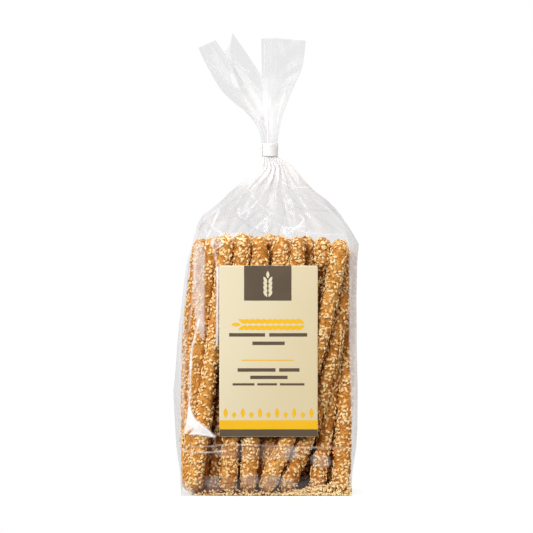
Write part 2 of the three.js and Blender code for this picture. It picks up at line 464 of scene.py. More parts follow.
@dataclass(frozen=True)
class Mottled:
    """A plain finish with a mottled colour and a fine relief.

    Attributes:
        name: The material's name.
        stops: The colour ramp over the mottle.
        soft_scale: The soft mottle's scale, to a metre.
        fine_scale: The fine mottle's scale.
        fine_share: How much of the mottle is fine.
        roughness: How matt it is.
        relief: How deep the bump is, in metres.
        tone_share: How much of the colour the piece's tones pick, or 0 where it has none.
        mirror: Its specular level.
    """

    name: str
    stops: tuple[tuple[float, Colour], ...]
    soft_scale: float
    fine_scale: float
    fine_share: float = 0.4
    roughness: float = 0.6
    relief: float = 0.0001
    tone_share: float = 0.0
    mirror: float = 0.25

    def make(self) -> bpy.types.Material:
        """Builds the material."""
        material, tree = new_material(self.name)
        mottle = tree.add("ShaderNodeGroup")
        mottle.node_tree = grain_group()
        mottle.inputs["Soft scale"].default_value = self.soft_scale
        mottle.inputs["Fine scale"].default_value = self.fine_scale
        mottle.inputs["Fine share"].default_value = self.fine_share
        mask = tree.add("ShaderNodeMapRange", {0: mottle.outputs[0], 1: 0.3, 2: 0.7}).outputs[0]
        if self.tone_share:
            tone = tree.add("ShaderNodeAttribute", attribute_name="tone").outputs["Fac"]
            toned = tree.add("ShaderNodeMix", {0: self.tone_share, 2: mask, 3: tone}, data_type="FLOAT")
            mask = toned.outputs[0]
        bump = tree.add("ShaderNodeBump", {"Height": mottle.outputs[0], "Distance": self.relief})
        surface = tree.add(
            "ShaderNodeBsdfPrincipled",
            {
                "Base Color": tree.ramp(mask, self.stops),
                "Roughness": self.roughness,
                "Normal": bump.outputs[0],
            },
        )
        surface.inputs["Specular IOR Level"].default_value = self.mirror
        tree.add("ShaderNodeOutputMaterial", {0: surface.outputs[0]})
        return material


@dataclass(frozen=True)
class ClearFilm:
    """Thin clear film: it mirrors a little, and is milky where its haze attribute says; that attribute also
    carries painted highlights.

    Attributes:
        name: The material's name.
        tint: What one layer lets through face on.
        edge: What it lets through at its outline.
        milk: The colour of its haze.
        glare: The colour of its painted highlights, where its haze is thickest.
        shine: The share of light that it mirrors face on.
        falloff: How quickly it mirrors more towards grazing.
        roughness: How soft its mirror images are.
        wrinkle: How deep its finest wrinkles are, in metres.
        passing: The share of the light in its haze that passes through to the other side.
    """

    name: str = "clear_film"
    tint: Colour = (0.915, 0.908, 0.908)
    edge: Colour = (0.66, 0.655, 0.67)
    milk: Colour = (0.83, 0.825, 0.835)
    glare: Colour = (0.99, 0.985, 0.99)
    shine: float = 0.012
    falloff: float = 4.5
    roughness: float = 0.13
    wrinkle: float = 0.00008
    passing: float = 0.1

    def make(self) -> bpy.types.Material:
        """Builds the material."""
        material, tree = new_material(self.name)
        where = tree.add("ShaderNodeTexCoord").outputs["Object"]
        cells = tree.add("ShaderNodeTexVoronoi", {"Vector": where, "Scale": 95.0})
        creases = tree.add(
            "ShaderNodeTexNoise", {"Vector": where, "Scale": 60.0, "Detail": 5.0, "Distortion": 0.6}
        )
        height = tree.maths("ADD", cells.outputs["Distance"], creases.outputs[0])
        bump = tree.add("ShaderNodeBump", {"Height": height, "Distance": self.wrinkle})
        weight = tree.add("ShaderNodeLayerWeight", {"Blend": 0.5, "Normal": bump.outputs[0]})
        facing = weight.outputs["Facing"]
        grazing = tree.maths("POWER", facing, self.falloff)
        mirror = tree.add("ShaderNodeMapRange", {0: grazing, 3: self.shine, 4: 1.0})
        gloss = tree.add(
            "ShaderNodeBsdfGlossy",
            {"Color": (1.0, 1.0, 1.0, 1.0), "Roughness": self.roughness, "Normal": bump.outputs[0]},
        )
        through = tree.ramp(facing, ((0.0, self.tint), (0.55, self.tint), (1.0, self.edge)))
        # Painted shade: the crease attribute dims what passes through along the valleys of the creases.
        crease = tree.add("ShaderNodeAttribute", attribute_name="crease").outputs["Fac"]
        dimmed = tree.add("ShaderNodeMix", {0: crease, 6: through, 7: (*self.edge, 1.0)}, data_type="RGBA")
        clear = tree.add("ShaderNodeBsdfTransparent", {"Color": dimmed.outputs[2]})
        film = tree.add(
            "ShaderNodeMixShader", {0: mirror.outputs[0], 1: clear.outputs[0], 2: gloss.outputs[0]}
        )
        # The haze attribute holds the film's milkiness and its painted highlights; the thickest is painted
        # in the glare colour.
        haze_and_gleams = tree.add("ShaderNodeAttribute", attribute_name="haze_and_gleams").outputs["Fac"]
        patchy = tree.maths("MULTIPLY", haze_and_gleams, tree.maths("ADD", creases.outputs[0], 0.5))
        pale = tree.ramp(haze_and_gleams, ((0.0, self.milk), (0.86, self.milk), (0.97, self.glare)))
        front = tree.add("ShaderNodeBsdfDiffuse", {"Color": pale, "Normal": bump.outputs[0]})
        behind = tree.add("ShaderNodeBsdfTranslucent", {"Color": pale, "Normal": bump.outputs[0]})
        milk = tree.add("ShaderNodeMixShader", {0: self.passing, 1: front.outputs[0], 2: behind.outputs[0]})
        whole = tree.add("ShaderNodeMixShader", {0: patchy, 1: film.outputs[0], 2: milk.outputs[0]})
        tree.add("ShaderNodeOutputMaterial", {0: whole.outputs[0]})
        return material


MOUTH_FILM = ClearFilm(
    name="clear_film_mouth",
    tint=(0.91, 0.91, 0.914),
    edge=(0.8, 0.803, 0.812),
    milk=(0.9, 0.9, 0.907),
    shine=0.014,
    roughness=0.2,
    passing=0.6,
)
CRUST = Mottled(
    name="baked_crust",
    stops=(
        (0.1, (0.22, 0.062, 0.008)),
        (0.37, (0.5, 0.185, 0.026)),
        (0.6, (0.775, 0.36, 0.075)),
        (0.85, (0.95, 0.61, 0.215)),
    ),
    soft_scale=240.0,
    fine_scale=950.0,
    fine_share=0.55,
    roughness=0.62,
    relief=0.0013,
    tone_share=0.3,
    mirror=0.15,
)
SESAME = Mottled(
    name="toasted_sesame",
    stops=(
        (0.0, (0.72, 0.385, 0.105)),
        (0.3, (0.92, 0.595, 0.235)),
        (0.65, (0.955, 0.71, 0.36)),
        (1.0, (0.97, 0.82, 0.54)),
    ),
    soft_scale=500.0,
    fine_scale=1800.0,
    roughness=0.42,
    relief=0.0001,
    tone_share=0.7,
)
# Painted shade comes in through the tone, which picks most of the paper's colour.
PAPER = Mottled(
    name="label_cream",
    stops=(
        (0.0, (0.6, 0.495, 0.29)),
        (0.35, (0.64, 0.55, 0.355)),
        (0.7, (0.675, 0.6, 0.42)),
        (1.0, (0.7, 0.63, 0.455)),
    ),
    soft_scale=18.0,
    fine_scale=2600.0,
    fine_share=0.15,
    roughness=0.5,
    relief=0.00002,
    tone_share=0.85,
)
DARK_PRINT = Mottled(
    name="label_grey_brown",
    stops=((0.0, (0.088, 0.062, 0.039)), (1.0, (0.112, 0.08, 0.052))),
    soft_scale=60.0,
    fine_scale=3000.0,
    roughness=0.5,
    relief=0.00001,
)
YELLOW_PRINT = replace(
    DARK_PRINT,
    name="label_golden",
    stops=((0.0, (0.76, 0.415, 0.008)), (1.0, (0.81, 0.465, 0.014))),
    soft_scale=40.0,
)
TAPE = Mottled(
    name="white_tape",
    stops=((0.0, (0.71, 0.71, 0.705)), (1.0, (0.75, 0.75, 0.745))),
    soft_scale=300.0,
    fine_scale=2500.0,
    roughness=0.55,
    relief=0.00003,
)
GLUE = replace(TAPE, name="yellowed_glue", stops=((0.0, (0.7, 0.69, 0.58)), (1.0, (0.74, 0.73, 0.64))))


# ---------------------------------------------------------------- breadsticks


class Show(Enum):
    """Which side of a stick can be seen through the film, as a heading from +X towards +Y."""

    FRONT = -90.0
    BACK = 90.0
    LEFT = 180.0
    RIGHT = 0.0
    HEAD = 270.0


# The lumps of a crust: waves along the stick, waves round it, and height as a share of the radius.
LUMPS = ((3, 0, 0.04), (7, 1, 0.035), (13, 1, 0.028), (23, 2, 0.026), (37, 3, 0.022))


@dataclass(frozen=True)
class Stick:
    """One breadstick.

    Attributes:
        foot: Where its lower end stands, in X and Y.
        head: Where its upper end is, in X and Y.
        top: How high its upper end is.
        bow: How far its middle stands out to the right.
        radius: Its crust's radius.
        show: The side that shows.
        bottom: How high its lower end is.
        press: The film presses the crust flat at this distance from the bag's middle plane.
        tone_and_painted_shade: How pale its crust is, from 0 to 1; below 0 its crust is painted darker, as
            shade for a stick deep in the bag.
        bare: The share of it with no seeds.
    """

    foot: tuple[float, float]
    head: tuple[float, float]
    top: float
    bow: float = 0.0
    radius: float = 5.4
    show: Show = Show.FRONT
    bottom: float = 2.4
    press: float = 26.7
    tone_and_painted_shade: float = 0.5
    bare: float = 0.27

    @property
    def length(self) -> float:
        """The distance between its two ends."""
        return math.dist((*self.foot, self.bottom), (*self.head, self.top))

    def axis(self, share: Array) -> Array:
        """The middle line's points at shares from foot to head.

        Args:
            share: The shares.

        Returns:
            The points, one row each.
        """
        low = np.array([*self.foot, self.bottom])
        high = np.array([*self.head, self.top])
        line = low + (high - low) * share[:, None]
        line[:, 0] += self.bow * 4.0 * share * (1.0 - share)
        return line

    def frame_at(self, share: Array) -> tuple[Array, Array, Array]:
        """The unit vectors across, deep and along the stick at shares from foot to head.

        Args:
            share: The shares.

        Returns:
            The three vectors at each share.
        """
        step = 0.01
        along = self.axis(share + step) - self.axis(share - step)
        along /= np.linalg.norm(along, axis=1)[:, None]
        deep = np.cross(along, np.array([1.0, 0.0, 0.0]))
        deep /= np.linalg.norm(deep, axis=1)[:, None]
        across = np.cross(deep, along)
        return across, deep, along

    def swell(self, share: Array, angle: Array, seed: int) -> Array:
        """The crust's radius: lumpy along the stick, and round at its ends.

        Args:
            share: Places from foot to head.
            angle: Places round it, in radians.
            seed: Starts the chance draws.

        Returns:
            The radius at each place.
        """
        draw = np.random.default_rng(seed)
        lumps = np.zeros_like(share)
        for waves, turns, size in LUMPS:
            shift = draw.uniform(0.0, 2.0 * math.pi, 2)
            along = share * waves * 2.0 * math.pi * draw.uniform(0.8, 1.2)
            lumps += size * np.sin(along + turns * angle + shift[0])
            lumps += size * 0.6 * np.cos(share * waves * 5.1 + (turns + 1) * angle + shift[1])
        end = np.minimum(share, 1.0 - share) * self.length / (self.radius * 1.05)
        rounding = np.sqrt(np.clip(1.0 - (1.0 - np.clip(end, 0.0, 1.0)) ** 2.1, 0.0, 1.0))
        return self.radius * (1.0 + lumps) * rounding

    def surface(self, share: Array, angle: Array, seed: int) -> tuple[Array, Array, Array, Array]:
        """Points of the crust, with directions there.

        Args:
            share: Places from foot to head.
            angle: Places round it, in radians.
            seed: Starts the chance draws.

        Returns:
            The points, and the directions out of the crust, round it and along it.
        """
        across, deep, along = self.frame_at(share)
        out = across * np.cos(angle)[:, None] + deep * np.sin(angle)[:, None]
        points = self.axis(share) + out * self.swell(share, angle, seed)[:, None]
        points[:, 1] = np.clip(points[:, 1], -self.press, self.press)
        end = np.minimum(share, 1.0 - share) * self.length / self.radius
        lean = (1.0 - np.clip(end, 0.0, 1.0)) ** 1.5 * np.where(share > 0.5, 1.0, -1.0)
        normal = out * np.sqrt(1.0 - lean**2)[:, None] + along * lean[:, None]
        return points, normal, np.cross(along, out), along


@dataclass(frozen=True)
class SeedShape:
    """A sesame seed: flat, and pointed at one end.

    Attributes:
        length: Its length.
        width: Its width.
        thickness: Its thickness.
    """

    length: float = 3.05
    width: float = 1.85
    thickness: float = 1.0

    def template(self) -> tuple[Array, Array]:
        """The seed's points and its triangles, lying in the X-Y plane along +X."""
        shape = bmesh.new()
        bmesh.ops.create_uvsphere(shape, u_segments=6, v_segments=4, radius=1.0)
        lying = Matrix.Rotation(math.pi / 2, 3, "Y")
        bmesh.ops.rotate(shape, verts=shape.verts, cent=(0, 0, 0), matrix=lying)
        bmesh.ops.triangulate(shape, faces=shape.faces)
        bmesh.ops.recalc_face_normals(shape, faces=shape.faces)
        points = np.array([v.co[:] for v in shape.verts])
        taper = 1.0 - 0.3 * points[:, 0]
        points[:, 1] *= taper * self.width / 2.0
        points[:, 2] *= self.thickness / 2.0
        points[:, 0] *= self.length / 2.0
        faces = np.array([[v.index for v in face.verts] for face in shape.faces])
        shape.free()
        return points, faces


class SeedCloud:
    """Sesame seeds gathered into one mesh.

    Args:
        seed: Starts the chance draws.
        tone: How pale the seeds are on the whole, from 0 to 1.
        scale: Their size against a plump seed.
    """

    def __init__(self, seed: int, tone: float = 0.55, scale: float = 1.0) -> None:
        """Starts an empty cloud."""
        self.draw = np.random.default_rng(seed)
        self.tone = tone
        self.scale = scale
        self.centres: list[Array] = []
        self.turns: list[Array] = []
        self.sizes: list[Array] = []

    def lay(self, points: Array, normal: Array, side: Array, tilt: float = 0.24, lift: float = 0.3) -> None:
        """Lays seeds flat on a surface, each turned at random.

        Args:
            points: The places on the surface.
            normal: The direction out of it at each place.
            side: A direction along it at each place.
            tilt: How far a seed rocks, in radians.
            lift: How far a seed's middle stands above the surface.
        """
        count = len(points)
        other = np.cross(normal, side)
        heading = self.draw.uniform(0.0, 2.0 * math.pi, count)[:, None]
        length = side * np.cos(heading) + other * np.sin(heading)
        rock = self.draw.normal(0.0, tilt, (count, 1))
        length = length + normal * rock
        length /= np.linalg.norm(length, axis=1)[:, None]
        width = np.cross(normal, length)
        width = width + normal * self.draw.normal(0.0, tilt, (count, 1))
        width -= length * np.sum(width * length, axis=1)[:, None]
        width /= np.linalg.norm(width, axis=1)[:, None]
        up = np.cross(length, width)
        self.centres.append(points + normal * (lift + 0.35 * np.abs(rock)))
        self.turns.append(np.stack([length, width, up], axis=1))
        self.sizes.append(self.draw.uniform(0.84, 1.2, count) * self.scale)

    def mesh(self, name: str) -> bpy.types.Mesh:
        """Builds the mesh of every seed laid so far, with a tone for each seed.

        Args:
            name: The mesh's name.

        Returns:
            The mesh, in millimetres.
        """
        points, faces = SeedShape().template()
        centres = np.concatenate(self.centres)
        turns = np.concatenate(self.turns)
        sizes = np.concatenate(self.sizes)
        count = len(centres)
        placed = np.einsum("pi,nij->npj", points, turns) * sizes[:, None, None] + centres[:, None, :]
        corners = faces[None] + np.arange(count)[:, None, None] * len(points)
        mesh = bpy.data.meshes.new(name)
        mesh.from_pydata(placed.reshape(-1, 3).tolist(), [], corners.reshape(-1, 3).tolist())
        shades = np.clip(self.draw.normal(self.tone, 0.24, count), 0.0, 1.0)
        give_tone(mesh, np.repeat(shades, len(points)))
        return mesh


@dataclass
class Breadsticks:
    """The sticks in the bag: a fanned front row, fillers behind it, an inner row and a back row.

    Attributes:
        front: The sticks that the front panel shows, from left to right.
        left_count: How many of them make the left one of their two pieces.
        fillers: The sticks just behind them, seen in the gaps.
        sides: The sticks beside the inner row, seen through the gussets.
        rows: The Y of the inner row and of the back row.
        columns: How many sticks the inner row has; the back row has one more.
        reach: How far a row's feet reach to each side.
        heads: The X of a row's first and last upper end.
        row_top: How high a row's sticks are.
        row_radius: How thick they are.
        row_play: How far chance moves such a stick's head, its bow, its top and its radius.
        crust_sides: How many faces a crust has round it.
        crust_rings: How many it has along it.
        row_step: The distance between rings of seeds along a stick.
        ring_step: The distance between seeds round a stick.
        side_window: How far round from the side that shows the seeds reach, in degrees.
        head_window: The same for a stick whose head alone shows.
        head_start: The share of a stick's length above which seeds lie all round.
        sticks: Every stick, once they are set out.
    """

    front: tuple[Stick, ...] = (
        Stick((-54.6, -4.0), (-46.2, -12.0), 181.4, bow=-4.3, radius=5.2, tone_and_painted_shade=0.6),
        Stick((-54.6, -13.0), (-37.4, -20.4), 183.5, bow=-2.6, radius=5.1, bare=0.5),
        Stick((-52.4, -21.2), (-27.9, -20.8), 186.2, bow=1.0, radius=5.3, tone_and_painted_shade=0.55),
        # Painted shade: this deep stick's crust is darker.
        Stick((-38.4, -6.5), (-21.3, -9.8), 182.8, radius=4.9, tone_and_painted_shade=-0.3),
        Stick((-27.3, -21.0), (-16.6, -20.6), 186.4, radius=5.5),
        Stick((-13.0, -20.7), (-3.8, -20.6), 184.6, radius=5.6),
        Stick((-5.7, -7.5), (2.8, -9.2), 185.3, radius=5.2),
        Stick((2.5, -10.5), (11.0, -20.4), 184.0, radius=5.8),
        Stick((12.8, -7.5), (23.0, -19.6), 183.9, radius=5.2),
        Stick((17.0, 4.5), (30.9, -9.0), 182.1, radius=5.2),
        Stick((-1.2, -21.2), (52.4, -21.0), 179.4, bow=7.0, radius=5.5, tone_and_painted_shade=0.6, bare=0.36),
        Stick((13.3, -19.8), (57.2, -8.5), 172.5, bow=8.8, radius=5.2, tone_and_painted_shade=0.25, bare=0.29),
        Stick((35.4, -19.2), (55.0, 10.5), 176.5, bow=3.0, radius=5.2, tone_and_painted_shade=0.05, bare=0.29),
        Stick((53.0, -20.2), (58.6, 17.0), 172.0, bow=1.2, radius=5.7, tone_and_painted_shade=0.3, bare=0.31),
        Stick((39.9, -20.6), (40.2, -20.6), 184.2, radius=5.4, bottom=163.5),
    )
    left_count: int = 7
    fillers: tuple[Stick, ...] = (
        Stick((-46.5, -8.5), (-33.5, -9.0), 178.0, radius=4.9, show=Show.HEAD),
        Stick((-27.0, -8.0), (-12.0, -9.0), 179.0, show=Show.HEAD),
        Stick((-16.4, -7.6), (-5.0, -4.0), 178.5, radius=5.0, show=Show.HEAD),
        Stick((3.6, -3.0), (13.0, -1.0), 179.5, show=Show.HEAD),
        # Painted shade: the next two fillers' crusts are darker.
        Stick((28.5, 3.5), (38.5, 4.0), 179.0, show=Show.HEAD, tone_and_painted_shade=-0.8),
        Stick((45.8, -4.0), (47.0, 9.0), 174.0, radius=5.0, show=Show.RIGHT, tone_and_painted_shade=-0.4),
    )
    sides: tuple[Stick, ...] = (
        Stick((-54.5, 5.0), (-45.2, 9.0), 180.0, radius=5.1, show=Show.LEFT),
        Stick((53.0, 9.0), (53.5, 13.0), 171.0, radius=5.1, show=Show.RIGHT),
    )
    rows: tuple[float, float] = (6.8, 20.4)
    columns: int = 9
    reach: float = 52.5
    heads: tuple[float, float] = (-44.5, 52.0)
    row_top: float = 181.0
    row_radius: float = 5.3
    row_play: tuple[float, float, float, float] = (1.2, 1.2, 2.5, 0.2)
    crust_sides: int = 20
    crust_rings: int = 104
    row_step: float = 2.3
    ring_step: float = 2.45
    side_window: float = 118.0
    head_window: float = 45.0
    head_start: float = 0.94
    sticks: list[Stick] = field(default_factory=list)

    def row(self, depth: float, shows: Sequence[Show], draw: np.random.Generator) -> list[Stick]:
        """A row of upright sticks, each a little off its place by chance.

        Args:
            depth: The Y of their feet.
            shows: The side that shows of each stick, from left to right.
            draw: The chance draws.

        Returns:
            The sticks.
        """
        first, last = self.heads
        head_play, bow_play, top_play, radius_play = self.row_play
        sticks = []
        for number, show in enumerate(shows):
            across = number / (len(shows) - 1)
            lean, bow, rise = draw.uniform(-1.0, 1.0, 3)
            foot = (self.reach * (2.0 * across - 1.0), depth)
            head = (first + (last - first) * across + head_play * lean, depth - 1.5)
            top = self.row_top + top_play * rise
            radius = self.row_radius + radius_play * bow
            # Painted shade: a stick whose head alone shows gets a darker crust.
            tone_and_painted_shade = -0.5 if show is Show.HEAD else 0.5
            sticks.append(Stick(foot, head, top, bow_play * bow, radius, show, tone_and_painted_shade=tone_and_painted_shade))
        return sticks

    def arrange(self) -> None:
        """Sets out every stick, from the front row to the back row."""
        draw = np.random.default_rng(11)
        inner, back = self.rows
        middle = [Show.HEAD] * (self.columns - 2)
        self.sticks = [*self.front, *self.fillers]
        self.sticks += self.row(inner, [Show.LEFT, *middle, Show.RIGHT], draw)
        self.sticks += self.sides
        self.sticks += self.row(back, [Show.BACK] * (self.columns + 1), draw)

    def crust(self, first: int, sticks: Sequence[Stick]) -> Shape:
        """The crusts of some sticks.

        Args:
            first: The number of the first of them.
            sticks: The sticks.

        Returns:
            Their crusts in one bmesh.
        """
        shape = bmesh.new()
        for number, stick in enumerate(sticks, first):
            made = bmesh.ops.create_uvsphere(
                shape, u_segments=self.crust_sides, v_segments=self.crust_rings, radius=1.0
            )["verts"]
            ball = np.array([v.co[:] for v in made])
            height = np.arcsin(np.clip(ball[:, 2], -1.0, 1.0)) / (math.pi / 2.0)
            share = 0.5 + 0.5 * (1.12 * height - 0.12 * height**9)
            angle = np.arctan2(ball[:, 1], ball[:, 0])
            points = stick.surface(np.clip(share, 0.0, 1.0), angle, number)[0]
            for vert, point in zip(made, points, strict=True):
                vert.co = point
        return shape

    def seeded_places(self, stick: Stick, draw: np.random.Generator) -> tuple[Array, Array]:
        """The places of the seeds on a stick: an uneven grid with bare patches.

        Args:
            stick: The stick.
            draw: The chance draws.

        Returns:
            The shares along it and the angles round it.
        """
        rings = int(stick.length / self.row_step)
        around = int(2.0 * math.pi * stick.radius / self.ring_step)
        along, turn = np.meshgrid(np.arange(rings), np.arange(around), indexing="ij")
        along, turn = along.ravel(), turn.ravel()
        share = (along + 0.5 + draw.uniform(-0.46, 0.46, along.size)) / rings
        angle = (turn + 0.5 * (along % 2) + draw.uniform(-0.46, 0.46, turn.size)) / around * 2.0 * math.pi
        phase = draw.uniform(0.0, 2.0 * math.pi, 3)
        patch = np.sin(share * 33.0 + 2.0 * np.sin(angle + phase[0]))
        patch *= np.cos(angle * 2.0 + share * 19.0 + phase[1])
        patch += 0.6 * np.sin(share * 71.0 + phase[2]) * np.cos(angle + share * 37.0)
        keep = draw.uniform(0.0, 1.0, share.size) > stick.bare + 0.42 * patch
        heading = np.degrees(angle)
        away = np.abs((heading - stick.show.value + 180.0) % 360.0 - 180.0)
        window = self.head_window if stick.show is Show.HEAD else self.side_window
        keep &= (away < window) | (share > self.head_start)
        return share[keep], angle[keep]

    def dress(self) -> None:
        """Builds the crusts and their seeds, in pieces small enough to handle."""
        self.arrange()
        crust = CRUST.make()
        sesame = SESAME.make()
        split = len(self.front)
        inner_end = split + len(self.fillers) + self.columns + len(self.sides)
        groups = (
            ("front_left", 0, self.left_count),
            ("front_right", self.left_count, split),
            ("inner", split, inner_end),
            ("back", inner_end, len(self.sticks)),
        )
        for label, start, end in groups:
            sticks = self.sticks[start:end]
            crusts = Piece(f"sticks_{label}", "crust").from_outward(self.crust(start, sticks), crust)
            each = len(crusts.data.vertices) // len(sticks)
            give_tone(crusts.data, np.repeat([stick.tone_and_painted_shade for stick in sticks], each))
            cloud = SeedCloud(seed=100 + start)
            for number, stick in enumerate(sticks, start):
                draw = np.random.default_rng(500 + number)
                share, angle = self.seeded_places(stick, draw)
                points, normal, side, _ = stick.surface(share, angle, number)
                cloud.lay(points, normal, side)
            Piece(f"seeds_{label}", "sesame").from_mesh(cloud.mesh(f"seeds_{label}"), sesame)


@dataclass(frozen=True)
class LooseSeeds:
    """The seeds that fell off: a heap in the front right corner and a line along the base.

    Attributes:
        heap_middle: The X of the heap's peak.
        heap_reach: How far the heap reaches to the left and right of it.
        heap_height: How high the peak is.
        front: The Y of the film's inner face.
        back: The Y where the heap has run out.
        rest: How high the lowest seeds lie over the base.
        count: How many seeds lie on the heap.
        film_count: How many lie against the film.
        line_count: How many lie along the base.
        line: The X where that line starts and ends.
        bed: The X where the bed of crumbs starts and ends.
        bed_depth: How far back the bed reaches.
        core_shade_tone: The tone of the heap's core, dark to paint the shade between its seeds.
        shadow_bed_tone: The tone of the bed, dark to paint the shadow at the sticks' feet.
    """

    heap_middle: float = 46.0
    heap_reach: tuple[float, float] = (34.0, 15.0)
    heap_height: float = 8.6
    front: float = -27.0
    back: float = -15.0
    rest: float = 0.4
    count: int = 280
    film_count: int = 210
    line_count: int = 300
    line: tuple[float, float] = (-57.0, 59.0)
    bed: tuple[float, float] = (-53.0, 59.0)
    bed_depth: float = 17.0
    core_shade_tone: float = -0.4
    shadow_bed_tone: float = -1.2

    def height(self, x: Array, y: Array) -> Array:
        """The heap's height over the base.

        Args:
            x: The places' X.
            y: Their Y.

        Returns:
            The height at each place.
        """
        reach = np.where(x < self.heap_middle, self.heap_reach[0], self.heap_reach[1])
        across = 1.0 - np.clip(np.abs(x - self.heap_middle) / reach, 0.0, 1.0)
        rise = np.where(x < self.heap_middle, across**0.8, 0.75 + 0.25 * across)
        deep = np.clip(1.0 - (y - self.front) / (self.back - self.front), 0.0, 1.0)
        heap = self.heap_height * rise * (0.25 + 0.75 * deep)
        ripples = 0.6 * np.sin(x * 0.7) * np.clip(across * 3.0, 0.0, 1.0)
        return heap + ripples + self.rest

    def core(self) -> Shape:
        """The heap's bumpy core, just under its seeds; its dark crust colour paints the shade between them.
        """
        left = self.heap_middle - self.heap_reach[0]
        width = sum(self.heap_reach)
        bumps = Crumple(seed=5, spacing=2.2, height=0.35)
        under_seeds, skirt_height = 1.1, 0.15

        def place(u: Array, v: Array) -> Array:
            """The core's upper face.

            Args:
                u: Shares across it.
                v: Shares up it.

            Returns:
                The points.
            """
            x = left + u * width
            y = self.front + 1.0 + v * (self.back - self.front)
            z = np.maximum(self.height(x, y) - under_seeds + bumps.at(x, y * 1.7), 0.2)
            return np.stack([x, y, z], axis=1)

        shape = placed_grid(44, 14, place)
        rim = [edge for edge in shape.edges if edge.is_boundary]
        skirt = bmesh.ops.extrude_edge_only(shape, edges=rim)["geom"]
        for vert in (item for item in skirt if isinstance(item, bmesh.types.BMVert)):
            vert.co.z = skirt_height
        bmesh.ops.edgeloop_fill(shape, edges=[edge for edge in shape.edges if edge.is_boundary])
        return shape

    def shadow_crumbs(self) -> Shape:
        """The bed of dark crumbs round the feet of the sticks, with a low edge along the film; its dark
        colour paints the shadow under the sticks' ends.
        """
        bumps = Crumple(seed=6, spacing=1.9, height=0.4)
        left, right = self.bed

        def place(u: Array, v: Array) -> Array:
            """The bed, which rises towards the back.

            Args:
                u: Shares across it.
                v: Shares up it.

            Returns:
                The points.
            """
            x = left + (right - left) * u
            y = self.front + 0.9 + v * self.bed_depth
            z = np.clip(0.5 + 4.6 * v**0.7 + bumps.at(x, y * 1.7), 0.3, None)
            return np.stack([x, y, z], axis=1)

        return placed_grid(150, 12, place)

    def build(self, sesame: bpy.types.Material) -> None:
        """Builds the heap, the dark bed that paints the shadow at the sticks' feet, and the line of seeds.

        Args:
            sesame: The seeds' finish.
        """
        crust = bpy.data.materials[CRUST.name]
        for name, shape, tone in (
            ("seed_heap_core", self.core(), self.core_shade_tone),
            ("crumb_bed_painted_shadow", self.shadow_crumbs(), self.shadow_bed_tone),
        ):
            give_tone(Piece(name, "crust").from_outward(shape, crust).data, tone)
        cloud = SeedCloud(seed=78, tone=0.72, scale=0.86)
        draw = np.random.default_rng(77)
        left, right = self.heap_reach

        x = self.heap_middle + draw.triangular(-left, 0.5, right, self.count)
        y = self.front + (self.back - self.front) * draw.uniform(0.02, 0.9, self.count)
        self.strew(cloud, x, y, self.height(x, y) - 0.5, (0.0, -0.3, 0.95), tilt=0.8, lift=0.3)

        x = self.heap_middle + draw.uniform(-left, right, self.film_count)
        y = np.full(self.film_count, self.front + 0.4) + draw.uniform(-0.2, 0.4, self.film_count)
        z = 0.6 + (self.height(x, y) - self.rest) * draw.uniform(0.0, 1.0, self.film_count)
        self.strew(cloud, x, y, z, (0.0, -0.97, 0.25), tilt=0.9, lift=0.1)

        start, end = self.line
        x = start + (end - start) * draw.uniform(0.0, 1.0, self.line_count) ** 0.75
        y = self.front + draw.uniform(-0.1, 2.5, self.line_count)
        z = 0.6 + draw.exponential(0.9, self.line_count).clip(0.0, 3.5)
        self.strew(cloud, x, y, z, (0.0, -0.35, 0.94), tilt=0.5, lift=0.1)
        Piece("seeds_loose", "sesame").from_mesh(cloud.mesh("seeds_loose"), sesame)

    @staticmethod
    def strew(cloud: SeedCloud, x: Array, y: Array, z: Array, up: Point, tilt: float, lift: float) -> None:
        """Lays loose seeds at places that all face one way.

        Args:
            cloud: Takes the seeds.
            x: The places' X.
            y: Their Y.
            z: Their heights.
            up: The direction out of the ground there.
            tilt: How far a seed rocks, in radians.
            lift: How far a seed's middle stands above its place.
        """
        normal = np.tile(up, (len(x), 1))
        side = np.tile([1.0, 0.0, 0.0], (len(x), 1))
        cloud.lay(np.stack([x, y, z], axis=1), normal, side, tilt=tilt, lift=lift)


# ---------------------------------------------------------------- the film


@dataclass(frozen=True)
class Level:
    """The film's section at one height, with a crease at each of its six corners.

    Attributes:
        z: The height.
        front: The X of the front panel's left and right creases.
        side: The X of the left and right side creases, which stand out between the panels.
        depth: Half the bag's depth.
    """

    z: float
    front: tuple[float, float]
    side: tuple[float, float]
    depth: float


@dataclass(frozen=True)
class Gather:
    """The pleats that draw the film in to its neck.

    Attributes:
        seed: Starts the chance draws.
        folds: How many creases there are round the film.
        start: The lowest and highest places where a crease may begin.
        depth: How deep the pleats are at the neck.
    """

    seed: int
    folds: int
    start: tuple[float, float]
    depth: float

    def at(self, turn: Array, z: Array, neck: float) -> Array:
        """How far the pleats stand out.

        Args:
            turn: Places round the film, from 0 to 1.
            z: Their heights.
            neck: The neck's height.

        Returns:
            The pleats' height at each place.
        """
        draw = np.random.default_rng(self.seed)
        gaps = draw.uniform(0.35, 1.65, self.folds)
        place = np.cumsum(gaps) / gaps.sum()
        place = np.concatenate([[0.0], place])
        sign = np.where(np.arange(self.folds + 1) % 2 == 0, 1.0, -1.0)
        size = sign * draw.uniform(0.5, 1.1, self.folds + 1)
        begin = draw.uniform(*self.start, self.folds + 1)
        size[-1], begin[-1] = size[0], begin[0]
        index = np.clip(np.searchsorted(place, turn, side="right") - 1, 0, self.folds - 1)
        share = (turn - place[index]) / (place[index + 1] - place[index])
        grown = [size[i] * np.clip((z - begin[i]) / (neck - begin[i]), 0.0, 1.0) for i in (index, index + 1)]
        return self.depth * (grown[0] * (1.0 - share) + grown[1] * share)


